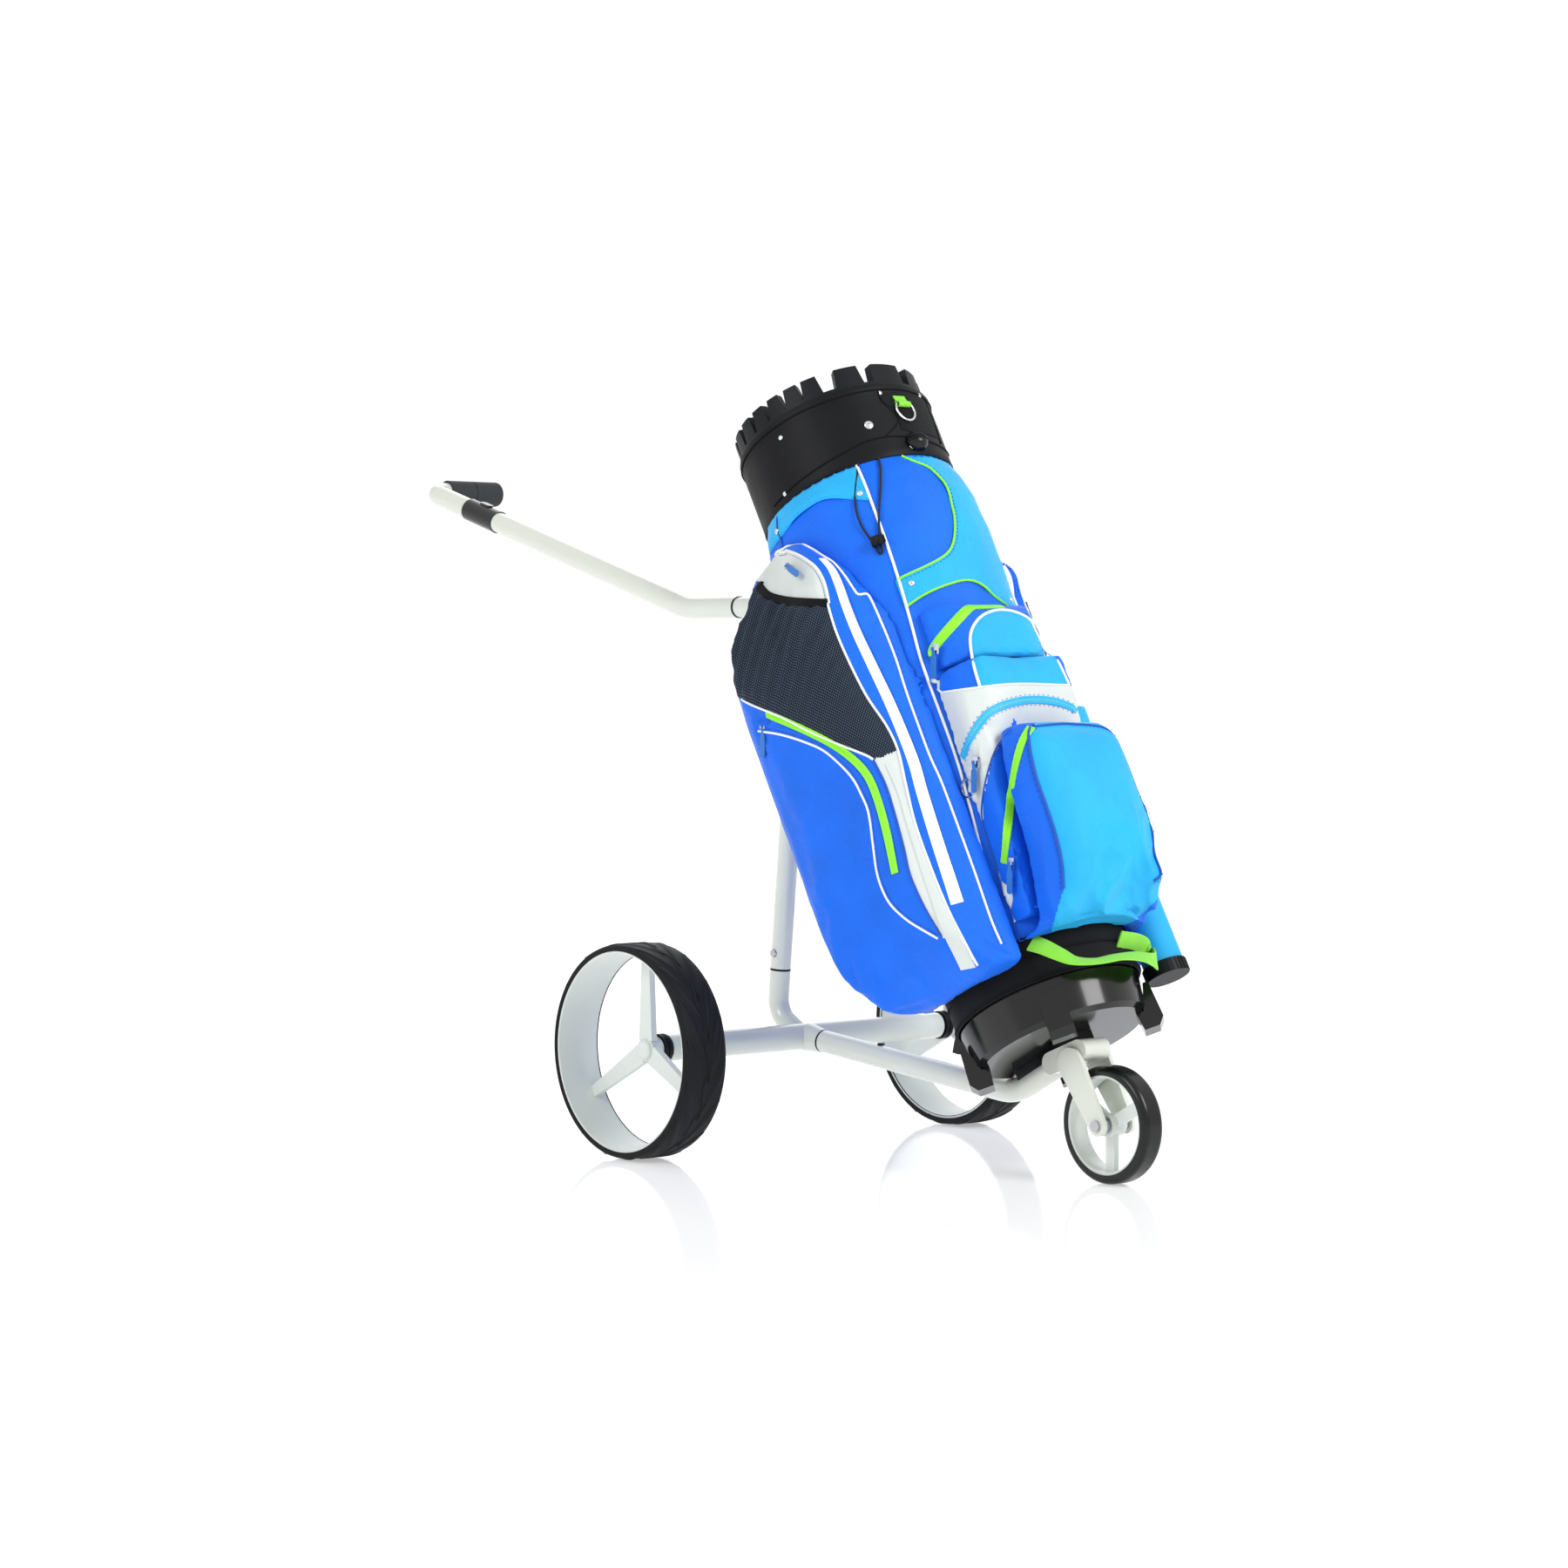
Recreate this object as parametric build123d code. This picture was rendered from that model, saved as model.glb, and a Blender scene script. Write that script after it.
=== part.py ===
from build123d import *
import math
import os

# ---------------------------------------------------------------------------
# Golf bag on a three-wheel push cart. Millimetres, +X forward, +Y left, +Z up.
# Everything is first laid out from the rear axle (x = 0) on the ground (z = 0)
# and moved along X at the end, so that the origin is the bottom centre.
# ---------------------------------------------------------------------------

# Overall sizes
wheelbase = 573.0
track_outer = 642.0
grip_axis_x = -850.0
bag_tilt = 29.0
bag_foot_x = 488.0
bag_foot_z = 167.0

# Clearances
running_gap = 0.05
plug_gap = 0.05
body_gap = 0.4
button_gap = 0.3
collar_gap = 0.5

# Rear wheels
rear_wheel_d = 280.0
rear_wheel_w = 68.0
rear_tyre_t = 10.0
rim_wall = 3.0
rim_lip = 2.0
spoke_count = 3
spoke_root_w = 26.0
spoke_tip_w = 14.0
spoke_t = 9.0
hub_r = 16.0
hub_len = 18.5
hub_nose_r = 13.5
hub_nose_len = 6.0
bearing_r = 11.0
bearing_w = 7.0
bearing_pitch = 9.0
axle_r = 4.0

# Crossbar and wheel couplings
crossbar_r = 17.5
crossbar_wall = 2.0
coupling_r = 19.3
coupling_len = 12.0
coupling_travel = 3.0
boss_r = 8.0
stub_plug_len = 26.0

# Frame tubes
tube_wall = 2.0
forward_r = 15.0
upright_r = 14.0
handle_r = 15.0
ring_len = 3.0
forward_ring_x = 37.0
forward_ring_z = 136.3
forward_bend_x = 404.0
forward_bend_z = 97.5
forward_bend_radius = 80.0
socket_root_r = 19.0
socket_root_t = 8.0
forward_spigot_len = 128.0
forward_button_t = 112.0
upright_ring_x = -50.5
upright_ring_z = 226.0
upright_lean = 5.6
upright_spigot_len = 64.0
upright_button_up = 24.0
elbow_z = 168.0
elbow_bend_radius = 35.0
handle_z = 718.0
upright_bend_radius = 50.0
handle_ring_x = -134.0
handle_spigot_len = 68.0
handle_bend_x = -249.0
handle_rise = 16.8
handle_bend_radius = 150.0
sleeve_start = 454.0
sleeve_len = 73.5
sleeve_wall = 1.6
sleeve_lip = 3.5
grip_spigot_len = 66.0
grip_bend_radius = 24.0
grip_r = 18.5
grip_start_y = 26.0
grip_end_y = 122.0
grip_groove_y = 70.0
bulkhead_len = 6.0
button_r = 5.0
top_button_r = 4.0
button_stand = 2.5
button_travel = 2.5
sleeve_button_len = 24.0
sleeve_button_w = 12.0
sleeve_button_stand = 2.2
sleeve_button_travel = 1.2

# Fork and front wheel
fork_half_w = 22.0
fork_plate_t = 6.0
crown_r = 14.0
crown_len = 52.0
crown_rise = 22.0
arm_top_r = 20.0
arm_top_x = -47.0
arm_top_z = 73.0
arm_foot_r = 13.0
front_wheel_d = 146.0
front_wheel_w = 33.0
front_tyre_t = 11.5
front_tyre_round = 8.0
front_hub_r = 14.0
front_hub_half = 12.0
front_spoke_w = 15.0
bolt_head_r = 7.0
bolt_head_t = 4.5

# Bag: all heights run up the bag's own axis from its flat bottom
base_bottom_r = 106.0
base_side_r = 112.0
base_rim_r = 118.0
base_h = 50.0
base_wall = 3.0
base_floor = 8.0
band_h = 60.0
band_t = 2.5
band_r = 119.0
trunk_wall = 4.0
neck_r = 128.0
neck_start = 781.0
trunk_top = 799.5
trunk_profile = [(121.5, 112.0), (126.0, 200.0), (131.0, 320.0), (137.0, 500.0), (142.0, 620.0),
                 (143.0, 680.0), (140.5, 730.0), (135.0, 757.0), (129.5, 773.0)]
collar_top = 886.0
collar_t = 3.5
ring_floor = 892.0
tooth_top = 918.0
ring_wall = 8.0
tooth_t = 12.0
rib_w = 8.0
rib_h = 12.0
divider_t = 2.0
divider_bottom = 60.0
divider_reach = 103.0
well_pitch = 40.0
teeth = [(0.0, 22.0), (27.0, 16.0), (50.0, 11.0), (62.0, 10.0), (74.5, 9.5), (87.5, 10.0),
         (101.0, 10.5), (116.0, 12.0), (133.0, 15.0), (155.0, 20.0)]

# Pockets
side_out = 200.0
side_rear = -145.0
side_front = 92.0
side_inner = 72.0
ball_half_w = 97.0
ball_front = 214.0
ball_bottom = 113.0
ball_top = 355.0
mid_top = 466.0
mid_half_w = 97.0
upper_half_w = 95.0
upper_top = 556.0
putter_r = 26.0
putter_wall = 3.0
putter_u = 80.0
putter_v = 138.6
putter_bottom = 62.0
putter_top = 420.0
putter_cap_r = 28.5
putter_cap_h = 18.0
pocket_round = 14.0

# Trim
d_ring_r = 15.0
wire_r = 1.6
cord_r = 1.5
pull_len = 30.0
pull_w = 8.5
pull_t = 1.8
slider_len = 13.0
slider_w = 9.0
slider_base = 3.0
slider_lift = 0.3
pin_r = 0.9
eye_wall = 0.9

# Derived
pin_up = slider_lift + slider_base + pin_r + eye_wall + button_gap
x_max = wheelbase + front_wheel_d / 2
x_min = grip_axis_x - grip_r
x_shift = -(x_min + x_max) / 2
wheel_r = rear_wheel_d / 2
wheel_out_y = track_outer / 2
wheel_in_y = wheel_out_y - rear_wheel_w
hub_in_y = wheel_in_y + 4.5
coupling_out_y = hub_in_y - collar_gap
coupling_in_y = coupling_out_y - coupling_len
crossbar_end_y = coupling_in_y - coupling_travel - collar_gap
rise = math.radians(handle_rise)
tilt = math.radians(bag_tilt)
lean = math.radians(upright_lean)
front_r = front_wheel_d / 2
bag_up = Vector(-math.sin(tilt), 0, math.cos(tilt))
bag_front = Vector(math.cos(tilt), 0, math.sin(tilt))
bag_plane = Plane(origin=(bag_foot_x, 0, bag_foot_z), x_dir=bag_front, z_dir=bag_up)
forward_root = Vector(forward_ring_x, 0, forward_ring_z)
forward_bend = Vector(forward_bend_x, 0, forward_bend_z)
forward_dir = (forward_bend - forward_root).normalized()
forward_up = Vector(-forward_dir.Z, 0, forward_dir.X)
bag_dir = bag_front
crown_back = forward_bend + bag_dir * (bag_foot_x - forward_bend_x) * 1.12
crown_front = crown_back + Vector(math.cos(math.radians(crown_rise)), 0,
                                  math.sin(math.radians(crown_rise))) * crown_len
upright_dir = Vector(math.sin(lean), 0, math.cos(lean))
upright_root = Vector(upright_ring_x, 0, upright_ring_z)
handle_bend = Vector(handle_bend_x, 0, handle_z)
handle_dir = Vector(-math.cos(rise), 0, math.sin(rise))
handle_up = Vector(math.sin(rise), 0, math.cos(rise))
grip_corner_t = (handle_bend_x - grip_axis_x) / math.cos(rise)
sleeve_end = sleeve_start + sleeve_len
handle_tube_end = sleeve_end - sleeve_lip
grip_tube_start = sleeve_end + body_gap
axle_point = Vector(wheelbase, 0, front_r)

nodes = {}


# ---------------------------------------------------------------------------
# Helpers
# ---------------------------------------------------------------------------
def rod(start, end, radius, bore=0.0):
    """A straight round bar between two points, with an optional bore."""
    start, end = Vector(start), Vector(end)
    disc = Circle(radius)
    if bore:
        disc -= Circle(bore)
    return extrude(Plane(origin=start, z_dir=end - start) * disc, amount=(end - start).length)


def cross_rod(x, z, y_from, y_to, radius, bore=0.0):
    """A round bar or ring along Y."""
    low, high = min(y_from, y_to), max(y_from, y_to)
    return rod((x, low, z), (x, high, z), radius, bore)


def bent_bar(points, radii, radius):
    """A solid round bar along straight runs with rounded corners."""
    route = FilletPolyline(*points, radius=radii)
    return sweep(Plane(origin=route @ 0, z_dir=route % 0) * Circle(radius), path=route)


def bent_tube(points, radii, radius, wall):
    """A hollow round tube along straight runs with rounded corners."""
    return bent_bar(points, radii, radius) - bent_bar(points, radii, radius - wall)


def turned(profile, axis=Axis.Z):
    """A solid of revolution from (radius, height) points."""
    face = make_face(Polyline(*[(r, 0, h) for r, h in profile], close=True))
    return revolve(face, axis=axis)


def plate_xz(points, y_from, y_to):
    """A flat plate with an outline in X and Z, between two Y values."""
    face = make_face(Polyline(*[(x, y_from, z) for x, z in points], close=True))
    return extrude(face, amount=y_to - y_from, dir=(0, 1, 0))


def hull_plate(circles, y_from, y_to):
    """A plate whose outline wraps circles given as (x, z, radius)."""
    edges = []
    for x, z, radius in circles:
        edges += (Pos(x, z) * Circle(radius)).edges()
    face = make_hull(edges)
    plane = Plane(origin=(0, y_to, 0), x_dir=(1, 0, 0), z_dir=(0, -1, 0))
    return extrude(plane * face, amount=y_to - y_from)


def on_bag(shape):
    """Moves a shape from the bag's own frame to the cart's."""
    return bag_plane.location * shape


def bag_point(u, v, s):
    """A point in the cart's frame from bag coordinates: front, left, up the axis."""
    return bag_plane.from_local_coords(Vector(u, v, s))


def mirrored(shape):
    """The same piece on the cart's right side."""
    return mirror(shape, about=Plane.XZ)


def group(solids):
    """Several separate solids kept as one node."""
    return Compound(children=[s for shape in solids for s in shape.solids()])


# ---------------------------------------------------------------------------
# Rear wheels, couplings and crossbar (drawn on the left, mirrored to the right)
# ---------------------------------------------------------------------------
def rear_rim():
    """White moulded wheel: deep barrel, three tapered spokes and a closed hub."""
    outer = wheel_r - rear_tyre_t
    barrel = cross_rod(0, wheel_r, wheel_in_y + rim_lip, wheel_out_y - rim_lip, outer, outer - rim_wall)
    hub_out_y = hub_in_y + hub_len
    hub = cross_rod(0, wheel_r, hub_in_y, hub_out_y, hub_r)
    nose = cross_rod(0, wheel_r, hub_out_y, hub_out_y + hub_nose_len, hub_nose_r)
    nose = fillet(nose.edges().filter_by(GeomType.CIRCLE).sort_by(Axis.Y)[-1:], hub_nose_len - 1)
    wheel = barrel + hub + nose
    spoke_y = hub_out_y - spoke_t
    for i in range(spoke_count):
        outline = [(hub_r - 4, -spoke_root_w / 2), (outer - rim_wall / 2, -spoke_tip_w / 2),
                   (outer - rim_wall / 2, spoke_tip_w / 2), (hub_r - 4, spoke_root_w / 2)]
        spoke = plate_xz(outline, spoke_y, spoke_y + spoke_t)
        turn = 90 + i * 360 / spoke_count
        wheel += Pos(0, 0, wheel_r) * Rot(0, -turn, 0) * spoke
    seat = 2 * bearing_w + (bearing_pitch - bearing_w) + collar_gap
    wheel -= cross_rod(0, wheel_r, hub_in_y - 1, hub_in_y + seat, bearing_r)
    wheel -= cross_rod(0, wheel_r, hub_in_y, hub_in_y + seat + 2, axle_r + 1)
    return wheel


def rear_tyre():
    """Rubber tread ring with rounded shoulders."""
    ring = cross_rod(0, wheel_r, wheel_in_y, wheel_out_y, wheel_r, wheel_r - rear_tyre_t)
    edges = ring.edges().filter_by(GeomType.CIRCLE).sort_by(SortBy.RADIUS)[-2:]
    return fillet(edges, rear_tyre_t * 0.45)


def hub_bearings():
    """Two ball bearings in the hub."""
    first = hub_in_y + collar_gap
    rings = [cross_rod(0, wheel_r, y, y + bearing_w, bearing_r, axle_r + running_gap)
             for y in (first, first + bearing_pitch)]
    return group(rings)


def coupling_ring():
    """Sprung release collar between crossbar and hub."""
    ring = cross_rod(0, wheel_r, coupling_in_y, coupling_out_y, coupling_r, boss_r + running_gap)
    waist = coupling_in_y + coupling_len * 0.4
    groove = cross_rod(0, wheel_r, waist, waist + coupling_len * 0.2, coupling_r + 1, coupling_r - 1)
    return ring - groove


def axle_stub():
    """Turned steel stub: plug in the crossbar, boss for the collar, wheel shaft."""
    plug = cross_rod(0, wheel_r, crossbar_end_y - stub_plug_len, crossbar_end_y, crossbar_r - crossbar_wall)
    boss = cross_rod(0, wheel_r, crossbar_end_y, hub_in_y - collar_gap / 2, boss_r)
    shaft = cross_rod(0, wheel_r, hub_in_y - collar_gap, hub_in_y + 2 * bearing_pitch, axle_r)
    return plug + boss + shaft


def crossbar():
    """Straight tube that carries both stub axles."""
    return cross_rod(0, wheel_r, -crossbar_end_y, crossbar_end_y, crossbar_r, crossbar_r - crossbar_wall)


def crossbar_space():
    """The solid space that the crossbar takes, to cut welded pieces back to it."""
    return cross_rod(0, wheel_r, -crossbar_end_y, crossbar_end_y, crossbar_r)


# ---------------------------------------------------------------------------
# Frame tubes
# ---------------------------------------------------------------------------
def forward_point(t, up=0.0):
    """A point along the forward tube, measured from its joint ring."""
    return forward_root + forward_dir * t + forward_up * up


def forward_socket():
    """Cone welded to the crossbar with the plug for the forward tube."""
    start = forward_point(socket_root_t - forward_ring_x)
    length = (forward_root - start).length
    cone = Plane(origin=start, z_dir=forward_dir) * Cone(
        socket_root_r, forward_r + 0.4, length, align=(Align.CENTER, Align.CENTER, Align.MIN))
    spigot_r = forward_r - tube_wall - plug_gap
    spigot = rod(forward_point(-2), forward_point(forward_spigot_len), spigot_r, spigot_r - tube_wall)
    return cone + spigot - crossbar_space() - top_button_hole()


def top_button_hole():
    """Radial hole for the snap button on top of the forward tube."""
    return rod(forward_point(forward_button_t), forward_point(forward_button_t, forward_r + 5),
               top_button_r + button_gap)


def forward_button():
    """Snap button on top of the forward tube."""
    low = forward_r - tube_wall * 2 - 1
    return rod(forward_point(forward_button_t, low),
               forward_point(forward_button_t, forward_r + button_stand), top_button_r)


def crown():
    """Rounded block that joins tube and fork plates."""
    ends = [(crown_back.X, crown_back.Z, crown_r), (crown_front.X, crown_front.Z, crown_r)]
    return hull_plate(ends, -fork_half_w, fork_half_w)


def fork():
    """Crown with two flat plates that carry the front axle."""
    shape = crown()
    plates = [(wheelbase + arm_top_x, front_r + arm_top_z, arm_top_r), (wheelbase, front_r, arm_foot_r)]
    for side in (-1, 1):
        near, far = sorted((side * fork_half_w, side * (fork_half_w + fork_plate_t)))
        shape += hull_plate(plates, near, far)
    return shape - cross_rod(wheelbase, front_r, -fork_half_w - 20, fork_half_w + 20, axle_r)


def forward_tube_space():
    """The solid space that the forward tube takes."""
    route = [forward_point(ring_len), forward_bend, crown_back]
    return bent_bar(route, forward_bend_radius, forward_r)


def forward_tube():
    """Tube from the joint ring to the fork crown, bent up under the bag."""
    route = [forward_point(ring_len), forward_bend, crown_back]
    tube = bent_tube(route, forward_bend_radius, forward_r, tube_wall)
    return tube - crown() - top_button_hole()


def saddle_pad():
    """Rubber strip between the bag's flat bottom and the tube."""
    strip = Pos(-22, 0, -body_gap - 6) * Box(124, 26, 12)
    return on_bag(strip) - forward_tube_space() - crown() - bag_clear_slab()


def bag_clear_slab():
    """The space just under the bag's bottom that stays free."""
    return on_bag(Pos(0, 0, 20 - body_gap) * Box(300, 300, 40))


def upright_point(t, side=0.0):
    """A point up the upright, measured from its joint ring."""
    return upright_root + upright_dir * t + Vector(0, side, 0)


def elbow():
    """Bent foot of the upright, welded to the crossbar, with its plug."""
    corner = upright_point((elbow_z - upright_ring_z) / upright_dir.Z)
    foot = bent_tube([Vector(-8, 0, wheel_r + 1), corner, upright_root], elbow_bend_radius,
                     upright_r, tube_wall)
    spigot_r = upright_r - tube_wall - plug_gap
    spigot = rod(upright_point(-10), upright_point(upright_spigot_len), spigot_r, spigot_r - tube_wall)
    collar = rod(upright_point(-10), upright_point(-4), upright_r - tube_wall, spigot_r - 1)
    return foot + spigot + collar - crossbar_space() - side_button_hole()


def side_button_hole():
    """Radial hole for the snap button in the upright's right side."""
    return rod(upright_point(upright_button_up), upright_point(upright_button_up, -upright_r - 5),
               button_r + button_gap)


def upright_button():
    """Snap button in the upright's right side."""
    low = upright_r - tube_wall * 2 - 1
    return rod(upright_point(upright_button_up, -low),
               upright_point(upright_button_up, -upright_r - button_stand), button_r)


def upright_tube():
    """Tube that leans forward to the bag's back and bends to the handle."""
    corner = upright_point((handle_z - upright_ring_z) / upright_dir.Z)
    route = [upright_point(ring_len), corner, Vector(handle_ring_x, 0, handle_z)]
    return bent_tube(route, upright_bend_radius, upright_r, tube_wall) - side_button_hole()


def joint_rings():
    """Dark parting rings at the three plug joints."""
    spigot_r = upright_r - tube_wall
    rings = [rod(upright_root, upright_point(ring_len), upright_r, spigot_r),
             rod(forward_root, forward_point(ring_len), forward_r, forward_r - tube_wall),
             rod((handle_ring_x - ring_len, 0, handle_z), (handle_ring_x, 0, handle_z), handle_r, spigot_r)]
    return group(rings)


def bag_cradle():
    """Upper bracket: clamp on the upright, short arm and a curved rest for the bag's back."""
    clamp_t = 404.0
    clamp = rod(upright_point(clamp_t), upright_point(clamp_t + 24), upright_r + 3.5)
    rest_s = 640.0
    rest_r = 143.0 + body_gap
    rest = Pos(0, 0, rest_s) * (Cylinder(rest_r + 4, 44) - Cylinder(rest_r, 46))
    wedge = Pos(-rest_r, 0, rest_s) * Box(60, 104, 60)
    arm = rod(upright_point(clamp_t + 12), bag_point(-rest_r - 2, 0, rest_s), 9)
    arm -= on_bag(Pos(0, 0, rest_s) * Cylinder(rest_r, 80))
    bracket = clamp + arm + on_bag(rest & wedge)
    return bracket - rod(upright_point(clamp_t - 10), upright_point(clamp_t + 40), upright_r)


# ---------------------------------------------------------------------------
# Handle
# ---------------------------------------------------------------------------
def handle_point(t, up=0.0):
    """A point along the rising handle, measured from its bend."""
    return handle_bend + handle_dir * t + handle_up * up


def sleeve_button_slot(clear, low, high):
    """A round-ended block across the top of the sleeve."""
    middle = handle_point((sleeve_start + sleeve_end) / 2, low)
    plane = Plane(origin=middle, x_dir=handle_dir, z_dir=handle_up)
    outline = SlotOverall(sleeve_button_len + 2 * clear, sleeve_button_w + 2 * clear)
    return extrude(plane * outline, amount=high - low)


def handle_tube():
    """Handle tube with the plug that goes into the upright's end."""
    start = Vector(handle_ring_x - ring_len, 0, handle_z)
    tube = bent_tube([start, handle_bend, handle_point(handle_tube_end)], handle_bend_radius,
                     handle_r, tube_wall)
    spigot_r = upright_r - tube_wall - plug_gap
    back = Vector(handle_ring_x - ring_len - bulkhead_len, 0, handle_z)
    spigot = rod(back, Vector(handle_ring_x + handle_spigot_len, 0, handle_z), spigot_r, spigot_r - tube_wall)
    bulkhead = rod(back, start, handle_r - tube_wall, spigot_r - tube_wall)
    slot = sleeve_button_slot(button_gap, handle_r - tube_wall - 1, handle_r + 6)
    return tube + spigot + bulkhead - slot


def handle_sleeve():
    """Glossy black sleeve that holds the turning handle end."""
    sleeve = rod(handle_point(sleeve_start), handle_point(sleeve_end), handle_r + sleeve_wall, handle_r)
    return sleeve - sleeve_button_slot(button_gap, handle_r - tube_wall - 1, handle_r + 6)


def sleeve_button():
    """Oval push button on top of the sleeve."""
    low = handle_r - tube_wall + sleeve_button_travel + 0.3
    top = handle_r + sleeve_wall + sleeve_button_stand
    button = sleeve_button_slot(0.0, low, top)
    return button - rod(handle_point(sleeve_start), handle_point(sleeve_end), low)


def grip_tube():
    """Handle end: plug in the sleeve, short run and a tight bend to the left."""
    corner = handle_point(grip_corner_t)
    tip = Vector(corner.X, grip_end_y - 8, corner.Z)
    tube = bent_tube([handle_point(grip_tube_start), corner, tip], grip_bend_radius, handle_r, tube_wall)
    spigot_r = handle_r - tube_wall - plug_gap
    spigot = rod(handle_point(sleeve_end - grip_spigot_len), handle_point(grip_tube_start + bulkhead_len),
                 spigot_r, spigot_r - tube_wall)
    bulkhead = rod(handle_point(grip_tube_start), handle_point(grip_tube_start + bulkhead_len),
                   handle_r - tube_wall, spigot_r - 1)
    return tube + spigot + bulkhead


def grip():
    """Rubber grip with one groove and a rounded end."""
    corner = handle_point(grip_corner_t)
    body = cross_rod(corner.X, corner.Z, grip_start_y, grip_end_y, grip_r)
    body = fillet(body.edges().filter_by(GeomType.CIRCLE).sort_by(Axis.Y)[-1:], 6)
    body -= cross_rod(corner.X, corner.Z, grip_start_y - 1, grip_end_y - 8, handle_r)
    body -= cross_rod(corner.X, corner.Z, grip_groove_y, grip_groove_y + 2, grip_r + 1, grip_r - 0.8)
    return body


# ---------------------------------------------------------------------------
# Front wheel
# ---------------------------------------------------------------------------
def front_rim():
    """White moulded wheel with three spokes."""
    outer = front_r - front_tyre_t
    half = front_wheel_w / 2 - 1.5
    wheel = cross_rod(wheelbase, front_r, -half, half, outer, outer - rim_wall)
    wheel += cross_rod(wheelbase, front_r, -front_hub_half, front_hub_half, front_hub_r)
    for i in range(spoke_count):
        outline = [(front_hub_r - 4, -front_spoke_w / 2), (outer - rim_wall / 2, -front_spoke_w / 2),
                   (outer - rim_wall / 2, front_spoke_w / 2), (front_hub_r - 4, front_spoke_w / 2)]
        spoke = plate_xz(outline, -4, 4)
        wheel += Pos(wheelbase, 0, front_r) * Rot(0, -(30 + i * 360 / spoke_count), 0) * spoke
    wheel -= cross_rod(wheelbase, front_r, -front_hub_half - 1, front_hub_half + 1, axle_r + 2)
    for side in (-1, 1):
        wheel -= cross_rod(wheelbase, front_r, side * (front_hub_half - bearing_w), side * (front_hub_half + 1),
                           bearing_r)
    return wheel


def front_tyre():
    """Smooth rounded rubber tyre."""
    ring = cross_rod(wheelbase, front_r, -front_wheel_w / 2, front_wheel_w / 2, front_r, front_r - front_tyre_t)
    edges = ring.edges().filter_by(GeomType.CIRCLE).sort_by(SortBy.RADIUS)[-2:]
    return fillet(edges, front_tyre_round)


def front_bearings():
    """Two ball bearings in the front hub."""
    rings = [cross_rod(wheelbase, front_r, side * (front_hub_half - bearing_w), side * front_hub_half,
                       bearing_r, axle_r + running_gap) for side in (-1, 1)]
    return group(rings)


def front_axle_set():
    """Axle bolt, its nut and the two black spacers."""
    outer = fork_half_w + fork_plate_t
    bolt = cross_rod(wheelbase, front_r, -outer, outer + bolt_head_t, axle_r)
    bolt += cross_rod(wheelbase, front_r, -outer - bolt_head_t, -outer, bolt_head_r)
    nut = cross_rod(wheelbase, front_r, outer, outer + bolt_head_t, bolt_head_r, axle_r)
    spacers = [cross_rod(wheelbase, front_r, side * (front_hub_half + body_gap / 2),
                         side * (fork_half_w - body_gap / 2), boss_r, axle_r) for side in (-1, 1)]
    return group([bolt, nut] + spacers)


# ---------------------------------------------------------------------------
# Bag, drawn upright on its own axis
# ---------------------------------------------------------------------------
def trunk_outline():
    """The outside of the trunk above its base as (radius, height) points."""
    points = [(band_r, base_h + body_gap), (band_r, 112.0)] + trunk_profile
    return points + [(neck_r, neck_start), (neck_r, trunk_top)]


def trunk_space():
    """Everything inside the trunk's skin, a little larger, to cut the pockets back."""
    grow = 0.3
    skirt = band_r + band_t + grow
    edge = [(r + grow, s) for r, s in trunk_profile] + [(neck_r + grow, neck_start), (neck_r + grow, trunk_top)]
    return turned([(0, 40), (skirt, 40)] + edge + [(0, trunk_top)])


def trunk():
    """Fabric tube with a stiff foot that stands in the base cup."""
    slope = (base_rim_r - base_side_r) / (base_h - 6.0)
    foot_low = base_side_r - base_wall - 0.3 + (base_floor + 0.3 - 6.0) * slope
    foot_high = base_rim_r - base_wall - 0.3
    outer = [(foot_low, base_floor + 0.3), (foot_high, base_h)] + trunk_outline()
    inner = [(r - trunk_wall, s) for r, s in outer[1:]]
    floor = base_floor + trunk_wall
    profile = [(0, base_floor + 0.3)] + outer + inner[::-1] + [(foot_low - trunk_wall, floor), (0, floor)]
    return turned(profile)


def bag_base():
    """Glossy moulded cup under the bag."""
    profile = [(0, 0), (base_bottom_r, 0), (base_side_r, 6), (base_rim_r, base_h),
               (base_rim_r - base_wall, base_h), (base_side_r - base_wall, base_floor), (0, base_floor)]
    return turned(profile)


def base_feet():
    """Four claw feet on the cup and the hook at the back."""
    outline = [(97, -body_gap), (107, -body_gap), (118, 34), (125, 34), (128, -14), (120, -24), (100, -24)]
    cup = turned([(0, 0), (base_bottom_r, 0), (base_side_r, 6), (base_rim_r, base_h), (0, base_h)])
    feet = []
    for angle in (45, 135, 225, 315):
        foot = Rot(0, 0, angle) * plate_xz(outline, -16, 16)
        feet.append(foot - cup)
    hook = plate_xz([(118, 62), (150, 54), (157, 60), (148, 72), (118, 98)], -9, 9)
    skin = turned([(0, 40), (band_r + band_t + 0.1, 40), (band_r + band_t + 0.1, 120), (0, 120)])
    feet.append(Rot(0, 0, 190) * hook - skin)
    return group(feet)


def lower_band():
    """Black fabric band with its zip above the base."""
    bottom = base_h + 2
    return turned([(band_r, bottom), (band_r + band_t, bottom), (band_r + band_t, bottom + band_h - 1),
                   (band_r, bottom + band_h - 1)])


def dividers():
    """Full-length fabric walls between the club wells."""
    height = ring_floor - rib_h - body_gap - divider_bottom
    middle = divider_bottom + height / 2
    walls = Pos(0, 0, middle) * Box(2 * divider_reach, divider_t, height)
    side_reach = math.sqrt(divider_reach ** 2 - well_pitch ** 2)
    for u in (-well_pitch, well_pitch):
        walls += Pos(u, 0, middle) * Box(divider_t, 2 * side_reach, height)
    return walls


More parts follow.
